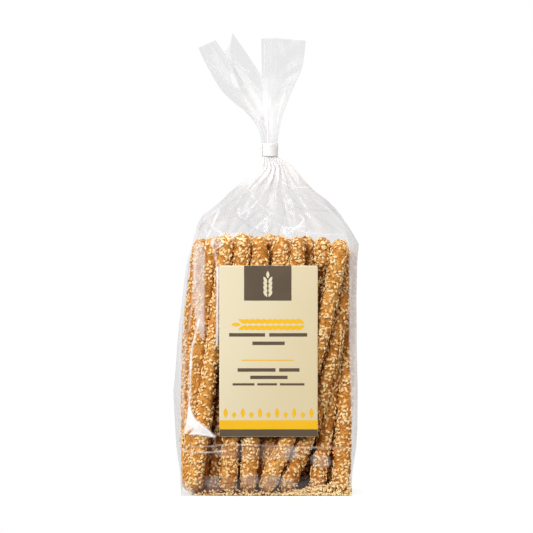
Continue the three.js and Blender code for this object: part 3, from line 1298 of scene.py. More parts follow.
# The front panel's painted highlights, as X and Z. These are on the small folded flap low at the left.
FLAP_GLEAMS = (
    Gleam(
        (
            (-54.8, 66.8), (-53.7, 64.3), (-52.9, 60.6), (-50.5, 55.7), (-48.3, 53.2), (-48.8, 49.0),
            (-51.3, 48.8), (-55.0, 46.5), (-58.8, 43.5), (-56.4, 55.7), (-55.2, 65.7),
        ),
        0.95,
    ),
    Gleam(
        ((-48.3, 53.2), (-41.3, 47.5), (-36.6, 42.5), (-48.3, 44.2), (-54.5, 44.2), (-51.3, 48.8)),
        0.9,
    ),
    Gleam(((-54.5, 44.2), (-48.3, 44.2), (-36.6, 42.4)), 0.9, 0.6),
    Gleam(((-48.3, 53.2), (-41.3, 47.5), (-36.6, 42.5)), 0.8, 0.5),
)
# These stand between the label and the left edge; the wide soft one paints a pale reflection over the
# leftmost sticks.
EDGE_GLEAMS = (
    Gleam(((-34.1, 163.0), (-34.6, 136.0), (-34.6, 117.0), (-35.0, 108.0)), 0.97, 0.75),
    Gleam(((-47.6, 126.0), (-52.6, 106.0), (-53.6, 92.0), (-54.0, 78.0), (-54.6, 66.0)), 0.9, 0.6),
    Gleam(((-53.6, 106.0), (-53.0, 92.0), (-54.6, 86.0), (-54.4, 96.0)), 0.5),
    Gleam(((-57.2, 118.0), (-58.2, 98.0), (-59.0, 76.0), (-59.6, 52.0)), 0.3, 1.3),
    Gleam(((-50.2, 166.0), (-52.2, 140.0), (-55.0, 118.0)), 0.4, 0.6),
    Gleam(
        (
            (-51.1, 178.6), (-46.9, 181.4), (-44.7, 178.6), (-43.3, 172.2), (-43.7, 158.0), (-43.6, 143.8),
            (-44.0, 129.6), (-43.6, 118.2), (-44.9, 111.8), (-46.5, 113.2), (-49.0, 121.8), (-50.7, 132.4),
            (-51.3, 143.8), (-52.0, 165.8),
        ),
        0.45,
        soft=0.8,
    ),
    Gleam(((-36.1, 174.3), (-35.1, 165.8), (-34.6, 155.8)), 0.5, 0.7),
)
# These are over the heads of the sticks.
HEAD_GLEAMS = (
    Gleam(
        ((-39.0, 183.5), (-36.6, 183.9), (-36.2, 181.4), (-37.6, 177.9), (-39.4, 178.6), (-39.2, 181.4)),
        0.68,
        soft=0.8,
    ),
    Gleam(
        (
            (-36.2, 175.0), (-36.6, 179.3), (-35.5, 184.2), (-31.2, 187.8), (-24.1, 187.1), (-18.5, 187.8),
            (-22.7, 184.7), (-31.2, 178.6),
        ),
        0.2,
    ),
    Gleam(((-36.6, 175.8), (-28.4, 181.2), (-20.8, 186.2)), 0.8, 0.28),
    Gleam(((-34.6, 179.2), (-29.0, 183.4), (-24.2, 186.4)), 0.6, 0.25),
    Gleam(((-29.1, 213.4), (-38.3, 192.1)), 0.6, 0.5),
    Gleam(((18.8, 190.0), (23.6, 192.0), (27.1, 197.0), (24.0, 199.4)), 0.6, 0.45),
    Gleam(((19.2, 190.4), (23.5, 194.0), (27.1, 197.0), (29.1, 191.5)), 0.2),
)
# These are along the crease of the block bottom and under it; the weak, soft patches paint faint reflections
# over the dark gaps.
FOOT_GLEAMS = (
    Gleam(((-60.4, 34.6), (-56.1, 32.0), (-50.6, 30.9), (-42.6, 31.3), (-28.4, 32.3)), 0.55, 0.4),
    Gleam(((-56.1, 35.4), (-40.5, 35.4), (-28.4, 37.1)), 0.42, 0.4),
    Gleam(((-28.4, 37.2), (0.0, 36.0), (30.0, 34.6), (59.6, 34.4)), 0.36, 0.45),
    Gleam(((-40.0, 36.0), (31.0, 34.0), (27.0, 27.0), (10.0, 28.0), (-20.0, 26.0), (-36.0, 28.0)), 0.05),
    Gleam(((-60.5, 0.0), (-60.5, 14.0), (-52.0, 4.0), (-48.0, 0.0)), 0.3),
    Gleam(
        (
            (-52.0, 3.0), (-51.0, 12.0), (-38.0, 14.5), (-20.0, 12.0), (6.0, 13.5), (24.0, 10.0),
            (40.0, 14.0), (41.0, 3.0),
        ),
        0.05,
    ),
    Gleam(
        ((10.6, 33.0), (15.6, 35.1), (22.0, 33.7), (23.4, 28.8), (17.8, 25.2), (12.1, 26.6)),
        0.17,
        soft=0.7,
    ),
    Gleam(
        ((31.2, 28.0), (36.9, 30.9), (45.4, 28.0), (46.1, 22.4), (39.8, 19.5), (32.7, 23.1)),
        0.15,
        soft=0.7,
    ),
    Gleam(
        ((-18.5, 13.1), (-12.8, 16.7), (-6.4, 15.3), (-5.0, 9.6), (-11.4, 7.5), (-16.3, 8.2)),
        0.17,
        soft=0.7,
    ),
    Gleam(((-43.3, 10.3), (-38.3, 13.8), (-33.4, 12.4), (-33.4, 6.0), (-41.2, 5.3)), 0.14, soft=0.7),
    Gleam(((-2.8, 12.4), (7.1, 15.3), (17.0, 12.4), (21.3, 8.2), (9.9, 8.2), (0.0, 6.7)), 0.12, soft=0.7),
)


@dataclass
class FilmBody:
    """The film's body, from its flat base to the band: block bottom, panels, shoulder and neck.

    Attributes:
        levels: The film's sections from base to neck.
        corners: The columns at the six corners, from the front left crease round to it again.
        rows: How many quads up the film.
        neck: The neck's height, radius and place in X.
        gathers: The pleats, coarse and fine.
        gleams: The painted highlights and reflections on the front panel.
        crumple: The creases of the shoulder.
        fine_crumple: The small creases between them.
        panel_waves: The waves of the panels.
        shoulder: The height where the film leaves the sticks.
        tie: How far under the neck the film is drawn to its round.
        top: The height where it ends, inside the neck band.
        base_crease: The height of the crease round the block bottom.
        label_zone: The left, right and lower edge of the place where the label smooths the film.
    """

    levels: tuple[Level, ...] = (
        Level(0.0, (-60.2, 60.2), (-60.8, 61.0), 26.9),
        Level(2.5, (-60.5, 60.4), (-61.2, 61.2), 27.6),
        Level(14.0, (-60.4, 60.5), (-61.6, 61.9), 27.9),
        Level(32.0, (-60.2, 61.0), (-64.2, 64.6), 27.9),
        Level(46.0, (-60.2, 61.1), (-65.0, 65.4), 27.9),
        Level(73.0, (-60.3, 60.0), (-66.3, 65.6), 27.9),
        Level(100.0, (-60.2, 59.4), (-63.8, 65.1), 27.9),
        Level(120.0, (-59.6, 59.3), (-62.2, 65.0), 27.9),
        Level(141.0, (-57.4, 59.2), (-59.8, 64.7), 27.9),
        Level(166.0, (-54.8, 59.2), (-56.4, 65.4), 27.8),
        Level(178.0, (-52.2, 59.3), (-52.9, 66.4), 27.2),
        Level(187.0, (-48.4, 57.0), (-50.6, 61.2), 23.2),
        Level(192.7, (-46.0, 54.6), (-49.0, 58.0), 20.4),
        Level(198.0, (-42.0, 51.0), (-45.4, 54.7), 17.6),
        Level(204.0, (-35.2, 46.0), (-38.3, 49.7), 15.4),
        Level(210.0, (-28.2, 38.8), (-31.2, 42.4), 13.4),
        Level(215.5, (-23.6, 31.2), (-26.3, 34.8), 11.6),
        Level(221.0, (-16.8, 25.8), (-19.2, 29.2), 10.0),
        Level(227.0, (-9.2, 20.8), (-11.0, 24.0), 8.4),
        Level(232.5, (-3.6, 16.2), (-5.4, 19.2), 7.2),
        Level(238.0, (-1.6, 11.6), (-3.2, 14.6), 6.2),
    )
    corners: tuple[int, ...] = (0, 168, 184, 200, 280, 296, 312)
    rows: int = 304
    neck: Point = (241.0, 5.3, 2.6)
    gathers: tuple[Gather, ...] = (
        Gather(seed=3, folds=22, start=(184.0, 212.0), depth=1.2),
        Gather(seed=9, folds=60, start=(206.0, 230.0), depth=0.5),
    )
    gleams: tuple[Gleam, ...] = (*FLAP_GLEAMS, *EDGE_GLEAMS, *HEAD_GLEAMS, *FOOT_GLEAMS)
    crumple: Crumple = Crumple(seed=21, spacing=24.0, height=1.5, directions=6)
    fine_crumple: Crumple = Crumple(seed=22, spacing=10.0, height=0.14)
    panel_waves: Crumple = Crumple(seed=31, spacing=26.0, height=0.3)
    shoulder: float = 178.0
    tie: float = 6.0
    top: float = 250.5
    base_crease: float = 34.0
    label_zone: tuple[float, float, float] = (-38.0, 41.0, 38.0)

    def height(self, v: Array) -> Array:
        """The height of each row: close rows over the shoulder, where the film is pleated."""
        return np.interp(v, [0.0, 0.02, 0.68, 1.0], [0.0, 2.5, self.shoulder, self.top])

    def corner_points(self, z: Array) -> tuple[Array, Array]:
        """The X and Y of the six corners, and the first again, at each height.

        Args:
            z: The heights.

        Returns:
            The X and the Y, one row for each height.
        """
        heights = [level.z for level in self.levels]
        table = {
            "fl": [level.front[0] for level in self.levels],
            "fr": [level.front[1] for level in self.levels],
            "sl": [level.side[0] for level in self.levels],
            "sr": [level.side[1] for level in self.levels],
            "y": [level.depth for level in self.levels],
        }
        at = {name: np.interp(z, heights, values) for name, values in table.items()}
        xs = [at["fl"], at["fr"], at["sr"], at["fr"], at["fl"], at["sl"], at["fl"]]
        ys = [-at["y"], -at["y"], 0.0 * z, at["y"], at["y"], 0.0 * z, -at["y"]]
        return np.stack(xs, axis=1), np.stack(ys, axis=1)

    def place(self, u: Array, v: Array) -> Array:
        """The film's points.

        Args:
            u: Places round the film.
            v: Places up it.

        Returns:
            The points.
        """
        z = self.height(v)
        column = u * self.corners[-1]
        index = np.clip(np.searchsorted(self.corners, column, side="right") - 1, 0, 5)
        marks = np.array(self.corners)
        share = (column - marks[index]) / (marks[index + 1] - marks[index])
        xs, ys = self.corner_points(z)
        rows = np.arange(len(u))
        x = xs[rows, index] * (1.0 - share) + xs[rows, index + 1] * share
        y = ys[rows, index] * (1.0 - share) + ys[rows, index + 1] * share
        heading = np.radians(np.interp(column, marks, [225, 315, 360, 405, 495, 540, 585]))
        neck_z, neck_r, neck_x = self.neck
        out = np.stack([np.cos(heading), np.sin(heading)], axis=1)
        left_right = np.where(out[:, 0] < 0.0, xs[:, 5], xs[:, 2])
        middle = (xs[:, 2] + xs[:, 5]) / 2.0
        oval_x = middle + (left_right - middle) * np.abs(out[:, 0])
        oval_y = ys[:, 3] * 1.05 * out[:, 1]
        rounder = smooth(self.shoulder + 12.0, neck_z - self.tie, z)
        x = x + (oval_x - x) * rounder
        y = y + (oval_y - y) * rounder
        tied = smooth(neck_z - self.tie, neck_z, z)
        x = x + (neck_x + neck_r * out[:, 0] - x) * tied
        y = y + (neck_r * out[:, 1] - y) * tied
        push = self.relief(u, z, x, index, tied)
        x = x + push * out[:, 0] * np.where(z > self.shoulder, 1.0, 0.35)
        y = y + push * out[:, 1]
        return np.stack([x, y, z], axis=1)

    def relief(self, u: Array, z: Array, x: Array, index: Array, tied: Array) -> Array:
        """How far the film stands out of its plain form: pleats, crumples and creases.

        Args:
            u: Places round the film.
            z: Their heights.
            x: Their X.
            index: The number of the panel or side fold each is in.
            tied: How much of each place's form is the neck's round.

        Returns:
            The height of the relief at each place.
        """
        neck_z = self.neck[0]
        pleats = sum(gather.at(u, z, neck_z) for gather in self.gathers)
        pleats = pleats * (1.0 - 0.45 * tied)
        loose = smooth(self.shoulder - 2.0, self.shoulder + 16.0, z) * (1.0 - smooth(226.0, 240.0, z))
        around = u * 360.0
        crumple = self.crumple.at(around, z) * loose
        crumple += self.fine_crumple.at(around, z) * loose
        on_panel = 1.0 - smooth(self.shoulder - 8.0, self.shoulder + 2.0, z)
        calm = on_panel * smooth(0.0, 6.0, z)
        is_panel = (index == 0) | (index == 3)
        waves = self.panel_waves.at(around, z) * np.where(is_panel, 1.0, 2.6)
        left, right, low = self.label_zone
        label = smooth(left, left + 6.0, x) * (1.0 - smooth(right - 6.0, right, x))
        label = label * smooth(low, low + 6.0, z)
        waves = waves * np.where(index == 0, 1.0 - 0.85 * label, 1.0)
        dent = -0.7 * np.exp(-(((z - self.base_crease - 1.2 * np.sin(x / 17.0)) / 1.3) ** 2)) * is_panel
        return pleats + crumple + (waves + dent) * calm

    def fold_haze(self, column: Array, z: Array) -> Array:
        """How milky the side folds are.

        Args:
            column: Places round the film, counted in columns.
            z: Their heights.

        Returns:
            The haze at each place.
        """
        side = ((column > self.corners[1]) & (column < self.corners[3])) | (column > self.corners[4])
        right = (column > self.corners[1]) & (column <= self.corners[2])
        left = column > self.corners[-2]
        tall = smooth(20.0, 110.0, z) * (1.0 - smooth(self.shoulder - 6.0, self.shoulder + 6.0, z))
        milk = np.where(side, 0.04, 0.0)
        return milk + np.where(right, 0.08 + 0.2 * tall, 0.0) + np.where(left, 0.08 + 0.1 * tall, 0.0)

    def shoulder_haze(self, u: Array, z: Array, points: Array) -> Array:
        """How milky the gathered film over the sticks is, with painted highlights along its bright streaks
        and crease ridges.

        Args:
            u: Places round the film.
            z: Their heights.
            points: The film's points there.

        Returns:
            The haze at each place.
        """
        neck_z, _, neck_x = self.neck
        x, depth = points[:, 0] - neck_x, points[:, 1]
        turn = np.arctan2(x, neck_z + 5.0 - z) / math.pi + 0.5
        turn = np.where(depth < 0.0, turn, turn * 0.97 + 0.013)
        # Painted highlights: bright streaks fanning down from the neck.
        lines = painted_highlight_streaks(71, 46, turn, (z - self.shoulder) / 60.0, 0.02)
        lines = lines * smooth(self.shoulder, self.shoulder + 14.0, z)
        core = np.exp(-((x / (5.5 + 0.42 * (neck_z - z))) ** 2)) * smooth(202.0, 226.0, z)
        gathered = smooth(213.0, 234.0, z)
        # Painted highlights along the crease ridges.
        ridge = np.clip(self.crumple.ridges(u * 360.0, z, 0.5), 0.0, 1.0)
        ridge = ridge**2 * smooth(self.shoulder, self.shoulder + 8.0, z)
        return 0.66 * gathered + 0.34 * core + 0.26 * lines + 0.38 * ridge

    def haze_and_gleams(self, u: Array, v: Array) -> Array:
        """How milky the film is at its side folds and shoulder, with the painted highlights of the gleams on
        its front.

        Args:
            u: Places round the film.
            v: Places up it.

        Returns:
            The haze at each place.
        """
        z = self.height(v)
        column = u * self.corners[-1]
        points = self.place(u, v)
        milk = np.clip(self.fold_haze(column, z) + self.shoulder_haze(u, z, points), 0.0, 0.85)
        is_front = column <= self.corners[1]
        # The gleams add painted highlights and reflections on the front.
        for gleam in self.gleams:
            milk = milk + np.where(is_front, gleam.at(points[:, 0], z), 0.0)
        return np.clip(milk, 0.0, 0.97)

    def creases(self, u: Array, v: Array) -> Array:
        """Where the film is painted darker, as shade along the valleys of its creases.

        Args:
            u: Places round the film.
            v: Places up it.

        Returns:
            The crease's strength at each place.
        """
        z = self.height(v)
        valley = np.clip(-self.crumple.ridges(u * 360.0, z, 0.55), 0.0, 1.0)
        loose = smooth(self.shoulder, self.shoulder + 8.0, z) * (1.0 - smooth(222.0, 236.0, z))
        return (0.07 + 0.4 * valley) * loose

    def build(self, film: bpy.types.Material) -> None:
        """Builds the film's body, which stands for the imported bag.

        Args:
            film: The film's finish.
        """
        marks = {"haze_and_gleams": self.haze_and_gleams, "crease": self.creases}
        shape = placed_grid(self.corners[-1], self.rows, self.place, marks)
        bmesh.ops.remove_doubles(shape, verts=shape.verts, dist=0.0005)
        foot = [edge for edge in shape.edges if edge.is_boundary and edge.verts[0].co.z < 1.0]
        bmesh.ops.edgeloop_fill(shape, edges=foot)
        body = Piece("film_body", "clear_film").from_outward(shape, film)
        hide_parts("bag")


@dataclass(frozen=True)
class WingSheet:
    """One sheet of a wing of the bag's mouth, between a left and a right edge.

    Attributes:
        name: The piece's name.
        left: Points of its left edge, as X and Z.
        right: Points of its right edge, as X and Z.
        depth: The Y of its foot and of its top.
        pleats: How many pleats cross it.
        swell: How deep they are at the top.
        belly: How far the sheet bulges.
        seed: Starts the chance draws.
        rim: How far its top stands above a straight line, as shares across and rises.
        milk: How milky it is at its foot and at its top.
        clears: Where it turns from the one to the other, as shares of its height.
        gleams: The painted highlights on it.
        quads: How many quads it has across and up.
    """

    name: str
    left: Line
    right: Line
    depth: tuple[float, float]
    pleats: float
    swell: float
    belly: float
    seed: int
    rim: Line = ((0.0, 0.0), (1.0, 0.0))
    milk: tuple[float, float] = (0.74, 0.01)
    clears: tuple[float, float] = (0.3, 0.72)
    gleams: tuple[Gleam, ...] = ()
    quads: tuple[int, int] = (110, 76)

    def place(self, u: Array, v: Array) -> Array:
        """The sheet's points.

        Args:
            u: Shares across it.
            v: Shares up it.

        Returns:
            The points.
        """
        lx, lz = curve_through(self.left, v)
        rx, rz = curve_through(self.right, v)
        draw = np.random.default_rng(self.seed)
        knots = np.sort(draw.uniform(0.0, 1.0, int(self.pleats * 2)))
        knots = np.concatenate([[0.0], knots, [1.0]])
        heights = draw.uniform(0.15, 0.5, len(knots)) * np.where(np.arange(len(knots)) % 2 == 0, 1.0, -1.0)
        fold = np.interp(u + 0.03 * np.sin(v * 5.0 + self.seed), knots, heights)
        open_share = smooth(0.0, 1.0, v)
        crumple = Crumple(self.seed, 15.0, 0.4).at(u * 42.0, v * 78.0) * smooth(0.1, 0.5, v)
        y = self.depth[0] + (self.depth[1] - self.depth[0]) * open_share
        y = y + fold * (0.9 + (self.swell - 0.9) * open_share) / 2.0
        y = y + self.belly * open_share * np.sin(math.pi * u) + crumple
        shares, rises = zip(*self.rim, strict=True)
        rise = np.interp(u, shares, rises) * smooth(0.72, 1.0, v)
        return np.stack([lx + (rx - lx) * u, y, lz + (rz - lz) * u + rise], axis=1)

    def haze_and_gleams(self, u: Array, v: Array) -> Array:
        """How milky the sheet is, with its painted highlight streaks and gleams.

        Args:
            u: Shares across it.
            v: Shares up it.

        Returns:
            The haze at each place.
        """
        foot, top = self.milk
        fade = smooth(self.clears[0], self.clears[1], v + 0.12 * np.sin(u * 7.0 + self.seed))
        # Painted highlights: bright streaks up the sheet.
        lines = painted_highlight_streaks(self.seed + 40, 7, u, v, widths=(0.012, 0.06)) * (0.4 - 0.25 * v)
        milk = foot + (top - foot) * fade + lines
        points = self.place(u, v)
        for gleam in self.gleams:
            milk = milk + gleam.at(points[:, 0], points[:, 2])
        return np.clip(milk, 0.0, 0.95)

    def build(self, film: bpy.types.Material) -> None:
        """Builds the sheet.

        Args:
            film: The mouth's finish.
        """
        shape = placed_grid(*self.quads, self.place, {"haze_and_gleams": self.haze_and_gleams})
        Piece(self.name, "clear_film").from_outward(shape, film)


# The edges of the mouth's two wings, as X and Z.
LEFT_OUTER = (
    (-2.8, 247.0), (-5.7, 260.9), (-14.2, 272.3), (-22.0, 278.6), (-32.7, 289.3), (-42.6, 306.4),
    (-48.3, 318.4),
)
LEFT_SPLIT = ((2.8, 247.0), (0.0, 263.1), (-7.1, 275.7), (-14.9, 291.5), (-25.3, 308.4), (-36.0, 323.8))
LEFT_INNER = ((4.3, 247.0), (1.6, 273.7), (-2.1, 295.0), (-12.2, 312.0), (-23.8, 329.4))
RIGHT_INNER = ((0.0, 247.0), (-1.4, 273.7), (-2.8, 296.4), (-3.5, 324.8))
RIGHT_OUTER = (
    (7.8, 247.0), (9.2, 257.2), (12.1, 270.3), (17.0, 283.6), (22.0, 295.0), (26.3, 306.4), (28.4, 323.4)
)

WING_SHEETS: tuple[WingSheet, ...] = (
    WingSheet(
        "wing_left_front", LEFT_OUTER, LEFT_SPLIT, (-3.4, -7.0), 1, 1.0, -1.6, 51, clears=(0.28, 0.6),
        gleams=(
            Gleam(
                (
                    (-39.0, 312.8), (-36.2, 314.9), (-33.4, 310.6), (-29.8, 304.9), (-24.8, 300.0),
                    (-21.3, 292.2), (-25.6, 292.2), (-31.2, 300.0), (-36.2, 305.7),
                ),
                0.54,
                soft=1.8,
            ),
            Gleam(
                (
                    (-29.7, 315.9), (-27.3, 313.5), (-24.1, 306.4), (-21.3, 297.8), (-18.5, 289.3),
                    (-22.7, 290.7), (-26.3, 302.1), (-28.8, 309.2),
                ),
                0.6,
                soft=1.8,
            ),
            Gleam(((-41.9, 308.8), (-34.8, 303.5), (-26.3, 295.0)), 0.7, 0.35),
            Gleam(((-40.8, 305.7), (-33.4, 299.3), (-24.1, 290.7)), 0.6, 0.3),
            Gleam(
                (
                    (-24.8, 300.7), (-18.5, 296.4), (-2.8, 296.4), (-1.4, 273.7), (-5.7, 266.6),
                    (-14.2, 278.0), (-21.3, 286.5),
                ),
                0.43,
                soft=2.5,
            ),
            Gleam(((-37.6, 295.0), (-31.9, 286.5), (-24.1, 278.7)), 0.3, 0.5),
        ),
    ),
    WingSheet("wing_left_back", LEFT_OUTER, LEFT_SPLIT, (1.0, -2.0), 1, 1.6, 2.0, 52, milk=(0.3, 0.02)),
    WingSheet(
        "wing_left_fold",
        ((-1.4, 247.0), (-2.8, 256.0), (-14.2, 275.1), (-25.2, 297.0), (-29.4, 316.0)),
        LEFT_INNER,
        (-1.0, -3.0),
        3,
        1.7,
        2.0,
        53,
        rim=((0.0, 0.0), (0.5, -4.0), (1.0, 0.0)),
        clears=(0.35, 0.72),
        gleams=(
            Gleam(
                ((-27.7, 317.0), (-25.6, 316.3), (-24.5, 307.8), (-23.8, 302.1), (-26.3, 304.9)),
                0.61,
                soft=1.8,
            ),
            Gleam(
                (
                    (-24.8, 301.4), (-19.9, 304.9), (-13.5, 302.1), (-9.9, 293.6), (-2.8, 286.5),
                    (-2.8, 266.6), (-14.2, 278.0), (-21.3, 287.9),
                ),
                0.47,
                soft=2.5,
            ),
            Gleam(((-22.7, 309.2), (-16.3, 303.5), (-11.4, 301.4)), 0.6, 0.5),
            Gleam(((-21.3, 304.9), (-14.2, 297.8), (-5.7, 287.9)), 0.5, 0.35),
        ),
    ),
    WingSheet(
        "wing_left_rear",
        ((-1.0, 247.0), (-2.4, 258.0), (-12.2, 275.1), (-21.6, 294.0), (-27.2, 314.5)),
        LEFT_INNER,
        (3.4, 3.0),
        3,
        1.7,
        3.0,
        54,
        rim=((0.0, 0.0), (0.4, -5.0), (1.0, -1.0)),
        milk=(0.3, 0.02),
    ),
    WingSheet(
        "wing_right_front", RIGHT_INNER, RIGHT_OUTER, (-3.4, -3.0), 3, 1.5, -2.6, 55,
        rim=((0.0, 0.0), (0.3, 1.4), (1.0, 0.0)), clears=(0.35, 0.66),
        gleams=(
            Gleam(((8.7, 323.0), (12.1, 322.7), (12.1, 318.4), (11.0, 313.5), (9.2, 316.3)), 0.43, soft=1.8),
            Gleam(((12.1, 317.0), (14.9, 310.6), (21.3, 304.9), (24.1, 302.1)), 0.35, 0.5),
            Gleam(
                (
                    (-2.6, 296.0), (4.0, 299.5), (12.4, 296.0), (15.0, 289.0), (11.6, 278.8), (6.4, 262.6),
                    (4.6, 250.0), (-0.5, 250.0),
                ),
                0.45,
                soft=4.5,
            ),
            Gleam(((-1.1, 323.4), (-0.7, 310.6), (-1.4, 300.7)), 0.4, 0.4),
            Gleam(((2.8, 324.1), (3.2, 312.0), (3.9, 302.1)), 0.35, 0.35),
            Gleam(((6.2, 323.4), (6.7, 309.2), (6.4, 297.8)), 0.3, 0.5),
            Gleam(((16.3, 322.3), (19.5, 322.0), (20.2, 318.4), (17.4, 318.4)), 0.09, soft=1.8),
        ),
    ),
    WingSheet("wing_right_back", RIGHT_INNER, RIGHT_OUTER, (3.4, 5.0), 3, 2.0, 4.0, 56, milk=(0.3, 0.02)),
)


@dataclass
class FilmTrims:
    """The film's doubled places: the folded foot and the seam down its back.

    Attributes:
        foot_height: How high the foot's folded flap reaches.
        foot_span: The flap's left and right ends.
        foot_depth: The Y of the flap.
        seam_width: The back seam's width.
        seam_height: The back seam's height.
        seam_depth: The Y of the seam.
    """

    foot_height: float = 14.5
    foot_span: tuple[float, float] = (-48.0, 32.0)
    foot_depth: float = -28.15
    seam_width: float = 11.0
    seam_height: float = 178.0
    seam_depth: float = 28.35

    def build(self, film: bpy.types.Material) -> None:
        """Builds the flap and the seam.

        Args:
            film: The film's finish.
        """
        left, right = self.foot_span
        creases = Crumple(seed=61, spacing=12.0, height=0.25)

        def flap(u: Array, v: Array) -> Array:
            """The folded flap, with an uneven upper edge.

            Args:
                u: Shares across it.
                v: Shares up it.

            Returns:
                The points.
            """
            top = self.foot_height + 1.6 * ramp_wave(u * 2.3 + 0.1)
            x = left + (right - left) * u
            z = 1.0 + (top - 1.0) * v
            return np.stack([x, self.foot_depth + creases.at(x, z), z], axis=1)

        def seam(u: Array, v: Array) -> Array:
            """The seam, which wanders a little.

            Args:
                u: Shares across it.
                v: Shares up it.

            Returns:
                The points.
            """
            x = (u - 0.5) * self.seam_width + 1.5 * np.sin(v * 4.0)
            y = self.seam_depth + 0.3 * ramp_wave(u)
            z = 2.0 + self.seam_height * v
            return np.stack([x, y + creases.at(x, z), z], axis=1)

        for name, place, milk in (("film_foot_flap", flap, 0.015), ("film_back_seam", seam, 0.08)):
            shape = placed_grid(60, 24, place, {"haze_and_gleams": lambda u, v, milk=milk: np.full(len(u), milk)})
            Piece(name, "clear_film").from_outward(shape, film)


# ---------------------------------------------------------------- the label


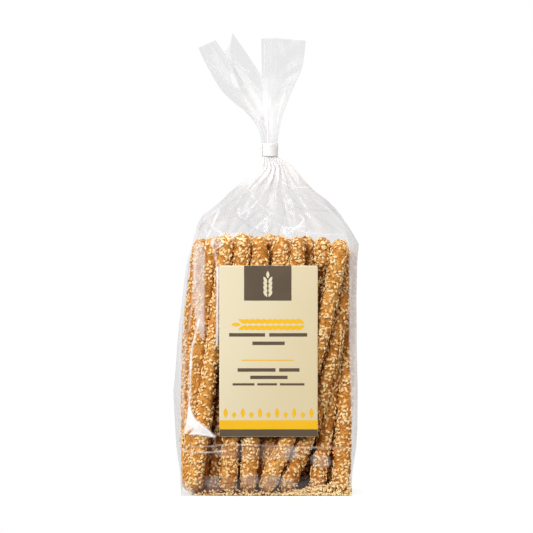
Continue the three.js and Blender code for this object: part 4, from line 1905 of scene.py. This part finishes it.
@dataclass
class Label:
    """The paper label on the front panel, with its printed fields and shapes.

    Attributes:
        centre: The X of its middle.
        width: Its width.
        foot: The height of its lower edge.
        height: Its height.
        corner: Its corners' radius.
        face: The Y of its face.
        thickness: Its thickness, in metres.
        ink: How far the print stands out of it.
        panel: The dark panel at its top: left, right, low and high from the middle of its foot.
        bars: The dark bars, in the same way.
        rule: The thin yellow rule, in the same way.
        bands: The heights where the dark and the yellow band at its foot start and end.
        wheat: The X, the height, the grains' length, the turn and the pairs of the lying ear.
        emblem: The same for the upright ear on the panel.
        seed_row: How many seed shapes stand in a row over the bands, and how far apart.
        seed_sizes: The height, length and width of the tall and the small ones.
        print_tone: The tone of the print.
    """

    centre: float = 1.8
    width: float = 70.0
    foot: float = 42.5
    height: float = 122.0
    corner: float = 1.7
    face: float = -28.6
    thickness: float = 0.00012
    ink: float = 0.035
    panel: tuple[float, ...] = (-17.4, 16.3, 97.0, 121.9)
    bars: tuple[tuple[float, ...], ...] = (
        (-28.0, -2.5, 71.4, 73.9),
        (0.5, 27.5, 71.4, 73.9),
        (-11.5, 11.5, 65.4, 67.9),
        (-22.0, 5.0, 46.4, 48.9),
        (7.5, 22.0, 46.4, 48.9),
        (-13.0, 13.5, 41.2, 43.6),
        (-25.5, -10.0, 36.6, 38.2),
        (-8.0, 6.0, 36.6, 38.2),
        (8.0, 25.5, 36.6, 38.2),
    )
    rule: tuple[float, ...] = (-19.0, 18.0, 54.2, 55.0)
    bands: tuple[float, float, float] = (0.3, 5.3, 11.8)
    wheat: tuple[float, float, float, float, int] = (0.0, 80.0, 6.6, 90.0, 11)
    emblem: tuple[float, float, float, float, int] = (-0.5, 108.5, 5.2, 0.0, 4)
    seed_row: tuple[int, float] = (11, 6.1)
    seed_sizes: tuple[Point, Point] = ((17.0, 7.0, 3.0), (15.6, 4.2, 3.0))
    print_tone: float = 0.8

    def drape(self, x: Array, z: Array) -> Array:
        """The Y of the label's face, which follows the film's slow waves."""
        wave = 0.22 * np.sin(x / 13.0 + 0.6) * np.sin(z / 31.0) + 0.12 * np.sin(z / 17.0 + x / 29.0)
        return self.face + wave

    def bent(self, shape: Shape, rise: float) -> None:
        """Lays a flat shape, drawn in X and Y, on the label's face.

        Args:
            shape: The shape, whose X and Y become X and Z.
            rise: How far it stands in front of the face.
        """
        flat = np.array([v.co[:] for v in shape.verts])
        depth = self.drape(flat[:, 0], flat[:, 1]) - rise
        for number, vert in enumerate(shape.verts):
            vert.co = (flat[number, 0], depth[number], flat[number, 1])

    def card(self) -> Shape:
        """The label's sheet with its round corners, its tone painted darker towards the right and the foot
        as shade.
        """
        inner = self.width / 2.0 - self.corner
        tall = self.height / 2.0 - self.corner

        def place(u: Array, v: Array) -> Array:
            """The sheet drawn flat, as X and height.

            Args:
                u: Shares across it.
                v: Shares up it.

            Returns:
                The points.
            """
            x = (u - 0.5) * self.width
            z = (v - 0.5) * self.height
            over_x = np.clip(np.abs(x) - inner, 0.0, None)
            over_z = np.clip(np.abs(z) - tall, 0.0, None)
            reach = np.hypot(over_x, over_z)
            outside = (over_x > 0) & (over_z > 0) & (reach > self.corner)
            pull = np.where(outside, self.corner / np.maximum(reach, 1e-6), 1.0)
            x = np.where(over_x > 0, np.sign(x) * (inner + over_x * pull), x)
            z = np.where(over_z > 0, np.sign(z) * (tall + over_z * pull), z)
            x = x + self.centre
            z = z + self.foot + self.height / 2.0
            return np.stack([x, z, 0.0 * x], axis=1)

        # Painted shade: the paper's tone falls towards its right edge and its foot.
        shape = placed_grid(84, 146, place, {"tone": lambda u, v: 1.0 - 0.62 * u - 0.3 * (1.0 - v)})
        self.bent(shape, 0.0)
        return shape

    def field(self, left: float, right: float, low: float, high: float) -> Shape:
        """A printed rectangle.

        Args:
            left: Its left edge, from the label's middle.
            right: Its right edge.
            low: Its lower edge, from the label's foot.
            high: Its upper edge.

        Returns:
            The rectangle, laid on the label.
        """
        quad = 1.5
        across = max(2, int((right - left) / quad))
        up = max(2, int((high - low) / quad))

        def place(u: Array, v: Array) -> Array:
            """The rectangle drawn flat, as X and height.

            Args:
                u: Shares across it.
                v: Shares up it.

            Returns:
                The points.
            """
            x = self.centre + left + (right - left) * u
            z = self.foot + low + (high - low) * v
            return np.stack([x, z, 0.0 * x], axis=1)

        shape = placed_grid(across, up, place)
        self.bent(shape, self.ink)
        return shape

    def grain(self, x: float, z: float, length: float, width: float, turn: float, rise: float) -> Shape:
        """A printed grain, pointed at both ends.

        Args:
            x: Its middle, from the label's middle.
            z: Its middle, from the label's foot.
            length: Its length.
            width: Its width.
            turn: How far it is turned from upright, in degrees.
            rise: How far it stands in front of the label.

        Returns:
            The grain, laid on the label.
        """
        shape = bmesh.new()
        bmesh.ops.create_circle(shape, cap_ends=True, segments=20, radius=0.5)
        for vert in shape.verts:
            pinch = 1.0 - (2.0 * abs(vert.co.y)) ** 2.2 * 0.55
            vert.co = Vector((vert.co.x * width * pinch, vert.co.y * length, 0.0))
        turned = Matrix.Rotation(math.radians(turn), 3, "Z")
        bmesh.ops.rotate(shape, verts=shape.verts, cent=(0, 0, 0), matrix=turned)
        bmesh.ops.translate(shape, verts=shape.verts, vec=(self.centre + x, self.foot + z, 0.0))
        self.bent(shape, rise)
        return shape

    def ear(self, x: float, z: float, size: float, turn: float, pairs: int, rise: float) -> list[Shape]:
        """An ear of grain: pairs of grains along a line, and one at its tip.

        Args:
            x: Its middle, from the label's middle.
            z: Its middle, from the label's foot.
            size: The length of a grain.
            turn: How far the ear is turned from upright, in degrees.
            pairs: How many pairs of grains it has.
            rise: How far it stands in front of the label.

        Returns:
            The grains, laid on the label.
        """
        shapes = []
        lie = math.radians(turn)
        width, step, spread = size * 0.42, size * 0.62, 28.0
        for number in range(pairs):
            for side in (-1.0, 1.0):
                along = (number - pairs / 2.0) * step
                away = side * size * 0.34
                gx = x - math.sin(lie) * along + math.cos(lie) * away
                gz = z + math.cos(lie) * along + math.sin(lie) * away
                shapes.append(self.grain(gx, gz, size, width, turn - side * spread, rise))
        tip = pairs / 2.0 * step + size * 0.1
        gx, gz = x - math.sin(lie) * tip, z + math.cos(lie) * tip
        shapes.append(self.grain(gx, gz, size, width, turn, rise))
        return shapes

    @staticmethod
    def joined(shapes: Sequence[Shape]) -> Shape:
        """Several shapes in one bmesh; the others are freed.

        Args:
            shapes: The shapes.

        Returns:
            All of them in one.
        """
        whole = bmesh.new()
        for shape in shapes:
            mesh = bpy.data.meshes.new("part")
            shape.to_mesh(mesh)
            shape.free()
            whole.from_mesh(mesh)
            bpy.data.meshes.remove(mesh)
        return whole

    def dark_shapes(self) -> list[Shape]:
        """The dark panel, the dark band at the foot and the bars."""
        half = self.width / 2.0 - 0.1
        edges = (self.panel, (-half, half, self.bands[0], self.bands[1]), *self.bars)
        return [self.field(*sides) for sides in edges]

    def golden_shapes(self) -> list[Shape]:
        """The yellow band at the foot, the rule, the lying ear and the row of seed shapes."""
        half = self.width / 2.0 - 0.1
        shapes = [
            self.field(-half, half, self.bands[1], self.bands[2]),
            self.field(*self.rule),
            *self.ear(*self.wheat, self.ink),
        ]
        count, step = self.seed_row
        for number in range(count):
            z, length, width = self.seed_sizes[number % 2]
            shapes.append(self.grain((number - count // 2) * step, z, length, width, 0.0, self.ink))
        return shapes

    def build(self) -> None:
        """Builds the label and its print."""
        paper = Piece("label_card", "label_paper").from_bmesh(self.card(), PAPER.make())
        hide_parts("label")
        wall = paper.modifiers.new("thickness", "SOLIDIFY")
        wall.thickness = self.thickness
        wall.offset = -1.0
        for name, slot, shapes, finish in (
            ("label_dark_print", "label_dark", self.dark_shapes(), DARK_PRINT.make()),
            ("label_yellow_print", "label_yellow", self.golden_shapes(), YELLOW_PRINT.make()),
            (
                "label_cream_print",
                "label_paper",
                self.ear(*self.emblem, 2.0 * self.ink),
                paper.data.materials[0],
            ),
        ):
            made = Piece(name, slot).from_bmesh(self.joined(shapes), finish)
            give_tone(made.data, self.print_tone)


@dataclass
class NeckBand:
    """The paper band round the neck, lapped over its own end at the left.

    Attributes:
        centre: The X of the neck.
        foot: The height of its lower edge.
        height: Its height.
        radius: Its radius.
        thickness: Its thickness, in metres.
        lap: How far it laps over itself, in radians.
        lap_rise: How far the lap stands out of the turn under it.
        glue_rise: How far the line of glue stands out of the band.
        glue_edge: How far the glue stays off the band's edges.
    """

    centre: float = 2.6
    foot: float = 241.0
    height: float = 9.2
    radius: float = 5.9
    thickness: float = 0.00015
    lap: float = 0.5
    lap_rise: float = 0.28
    glue_rise: float = 0.42
    glue_edge: float = 0.4

    def build(self) -> None:
        """Builds the band and its glue."""

        def place(u: Array, v: Array) -> Array:
            """The band, which starts and ends at the left.

            Args:
                u: Shares across it.
                v: Shares up it.

            Returns:
                The points.
            """
            turn = math.pi * 0.97 - u * (2.0 * math.pi + self.lap)
            radius = self.radius + self.lap_rise * smooth(0.86, 1.0, u) - 0.02 * u
            radius = radius + 0.12 * np.sin(turn * 3.0 + v * 2.0)
            z = self.foot + self.height * v + 0.15 * np.sin(turn * 2.0)
            return np.stack([self.centre + radius * np.cos(turn), radius * np.sin(turn), z], axis=1)

        band = Piece("paper_band", "neck_tape").from_outward(placed_grid(96, 12, place), TAPE.make())
        wall = band.modifiers.new("thickness", "SOLIDIFY")
        wall.thickness = self.thickness
        wall.offset = 0.0
        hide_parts("neck_band")

        def strip(u: Array, v: Array) -> Array:
            """The line of glue along the lap's end.

            Args:
                u: Shares across it.
                v: Shares up it.

            Returns:
                The points.
            """
            turn = math.pi * (0.98 + 0.2 * u)
            radius = self.radius + self.glue_rise
            z = self.foot + self.glue_edge + (self.height - 2.0 * self.glue_edge) * v
            return np.stack([self.centre + radius * np.cos(turn), radius * np.sin(turn), z], axis=1)

        Piece("band_glue", "neck_tape").from_outward(placed_grid(12, 8, strip), GLUE.make())


# ---------------------------------------------------------------- studio


@dataclass(frozen=True)
class Lamp:
    """A soft lamp.

    Attributes:
        name: Its name.
        heading: Its heading from the front panel towards +X, in degrees.
        rise: How high it stands over the part, in degrees.
        distance: Its distance in metres.
        size: Its width and height in metres.
        power: Its power in watts.
        colour: The colour of its light.
    """

    name: str
    heading: float
    rise: float
    distance: float
    size: tuple[float, float]
    power: float
    colour: Colour = (1.0, 1.0, 1.0)

    def build(self, aim: Vector) -> None:
        """Sets the lamp up.

        Args:
            aim: The point it is aimed at.
        """
        turn, lift = math.radians(self.heading), math.radians(self.rise)
        way = Vector((math.sin(turn) * math.cos(lift), -math.cos(turn) * math.cos(lift), math.sin(lift)))
        data = bpy.data.lights.new(self.name, "AREA")
        data.shape = "RECTANGLE"
        data.size, data.size_y = self.size
        data.energy = self.power
        data.color = self.colour
        lamp = bpy.data.objects.new(self.name, data)
        lamp.location = aim + way * self.distance
        lamp.rotation_euler = way.to_track_quat("Z", "Y").to_euler()
        lamp.visible_camera = False
        bpy.context.scene.collection.objects.link(lamp)


@dataclass
class Studio:
    """The camera, the pale floor, the lamps and the white surround.

    Attributes:
        distance: The camera's distance in metres.
        elevation: How far it looks down, in degrees.
        frame_width: The width of what it takes in at the front panel, in metres.
        aim: The point at the middle of the frame.
        lamps: The lamps.
        lamp_aim: The point they are aimed at.
        floor_radius: The floor's radius in metres.
        floor_fade: The distances from the part where the floor starts and ends to fade, in metres.
    """

    distance: float = 3.6
    elevation: float = 3.5
    frame_width: float = 0.3784
    aim: Point = (0.00035, -0.027, 0.1637)
    lamps: tuple[Lamp, ...] = (
        Lamp("key", -28.0, 32.0, 1.6, (0.85, 0.95), 31.5),
        Lamp("fill", 52.0, 16.0, 2.0, (1.2, 1.5), 16.5, (1.0, 0.93, 0.82)),
        Lamp("strip", -80.0, 10.0, 1.3, (0.3, 1.2), 5.0),
        Lamp("top", 0.0, 80.0, 2.2, (1.6, 1.0), 5.0),
    )
    lamp_aim: Point = (0.0, 0.0, 0.12)
    floor_radius: float = 0.9
    floor_fade: tuple[float, float] = (0.02, 0.072)

    def camera(self) -> None:
        """Sets up the camera."""
        lift = math.radians(self.elevation)
        data = bpy.data.cameras.new("camera")
        data.lens = data.sensor_width * self.distance / self.frame_width
        data.clip_end = 50.0
        eye = bpy.data.objects.new("camera", data)
        back = Vector((0.0, -math.cos(lift), math.sin(lift)))
        eye.location = Vector(self.aim) + back * self.distance
        eye.rotation_euler = back.to_track_quat("Z", "Y").to_euler()
        bpy.context.scene.collection.objects.link(eye)
        bpy.context.scene.camera = eye

    def floor(self) -> None:
        """Lays a round pale floor that fades into the surround."""
        shape = bmesh.new()
        bmesh.ops.create_circle(shape, cap_ends=True, segments=96, radius=self.floor_radius)
        mesh = bpy.data.meshes.new("floor")
        shape.to_mesh(mesh)
        shape.free()
        material, tree = new_material("pale_floor")
        where = tree.add("ShaderNodeTexCoord").outputs["Object"]
        reach = tree.add("ShaderNodeVectorMath", {0: where}, operation="LENGTH").outputs["Value"]
        near, far = self.floor_fade
        fade = tree.add("ShaderNodeMapRange", {0: reach, 1: near, 2: far}).outputs[0]
        sight = tree.add("ShaderNodeLightPath").outputs["Is Camera Ray"]
        paint = tree.ramp(sight, ((0.0, (0.3, 0.3, 0.3)), (1.0, (0.97, 0.97, 0.97))))
        matt = tree.add("ShaderNodeBsdfDiffuse", {"Color": paint})
        away = tree.add("ShaderNodeBsdfTransparent")
        mixed = tree.add("ShaderNodeMixShader", {0: fade, 1: matt.outputs[0], 2: away.outputs[0]})
        tree.add("ShaderNodeOutputMaterial", {0: mixed.outputs[0]})
        mesh.materials.append(material)
        ground = bpy.data.objects.new("floor", mesh)
        bpy.context.scene.collection.objects.link(ground)

    def surround(self) -> None:
        """Makes the surround: white to the eye, and softly graded for light and mirror images."""
        world = bpy.data.worlds.new("surround")
        world.use_nodes = True
        bpy.context.scene.world = world
        world.node_tree.nodes.clear()
        tree = Tree(world.node_tree)
        way = tree.add("ShaderNodeTexCoord").outputs["Generated"]
        parts = tree.add("ShaderNodeSeparateXYZ", {0: way}).outputs
        above = tree.add("ShaderNodeMapRange", {0: parts["Z"], 1: -0.3, 2: 0.3, 3: 0.75, 4: 1.0})
        behind = tree.add("ShaderNodeMapRange", {0: parts["Y"], 1: -0.5, 2: 0.15, 3: 0.08, 4: 1.0})
        strength = tree.maths("MULTIPLY", above.outputs[0], behind.outputs[0])
        sight = tree.add("ShaderNodeLightPath").outputs["Is Camera Ray"]
        seen = tree.add("ShaderNodeMix", {0: sight, 2: strength, 3: 1.0}, data_type="FLOAT").outputs[0]
        sky = tree.add("ShaderNodeBackground", {"Color": (1.0, 1.0, 1.0, 1.0), "Strength": seen})
        tree.add("ShaderNodeOutputWorld", {0: sky.outputs[0]})

    def build(self) -> None:
        """Sets everything up."""
        scene = bpy.context.scene
        scene.view_settings.view_transform = "Standard"
        scene.cycles.transparent_max_bounces = 24
        scene.cycles.max_bounces = 10
        self.camera()
        self.floor()
        self.surround()
        for lamp in self.lamps:
            lamp.build(Vector(self.lamp_aim))


def main() -> None:
    """Builds the studio and every piece of the bag."""
    logging.basicConfig(level=logging.INFO, format="%(message)s")
    Studio().build()
    Breadsticks().dress()
    LooseSeeds().build(bpy.data.materials[SESAME.name])
    film = ClearFilm().make()
    FilmBody().build(film)
    mouth = MOUTH_FILM.make()
    for sheet in WING_SHEETS:
        sheet.build(mouth)
    FilmTrims().build(film)
    Label().build()
    NeckBand().build()


if __name__ == "__main__":
    main()
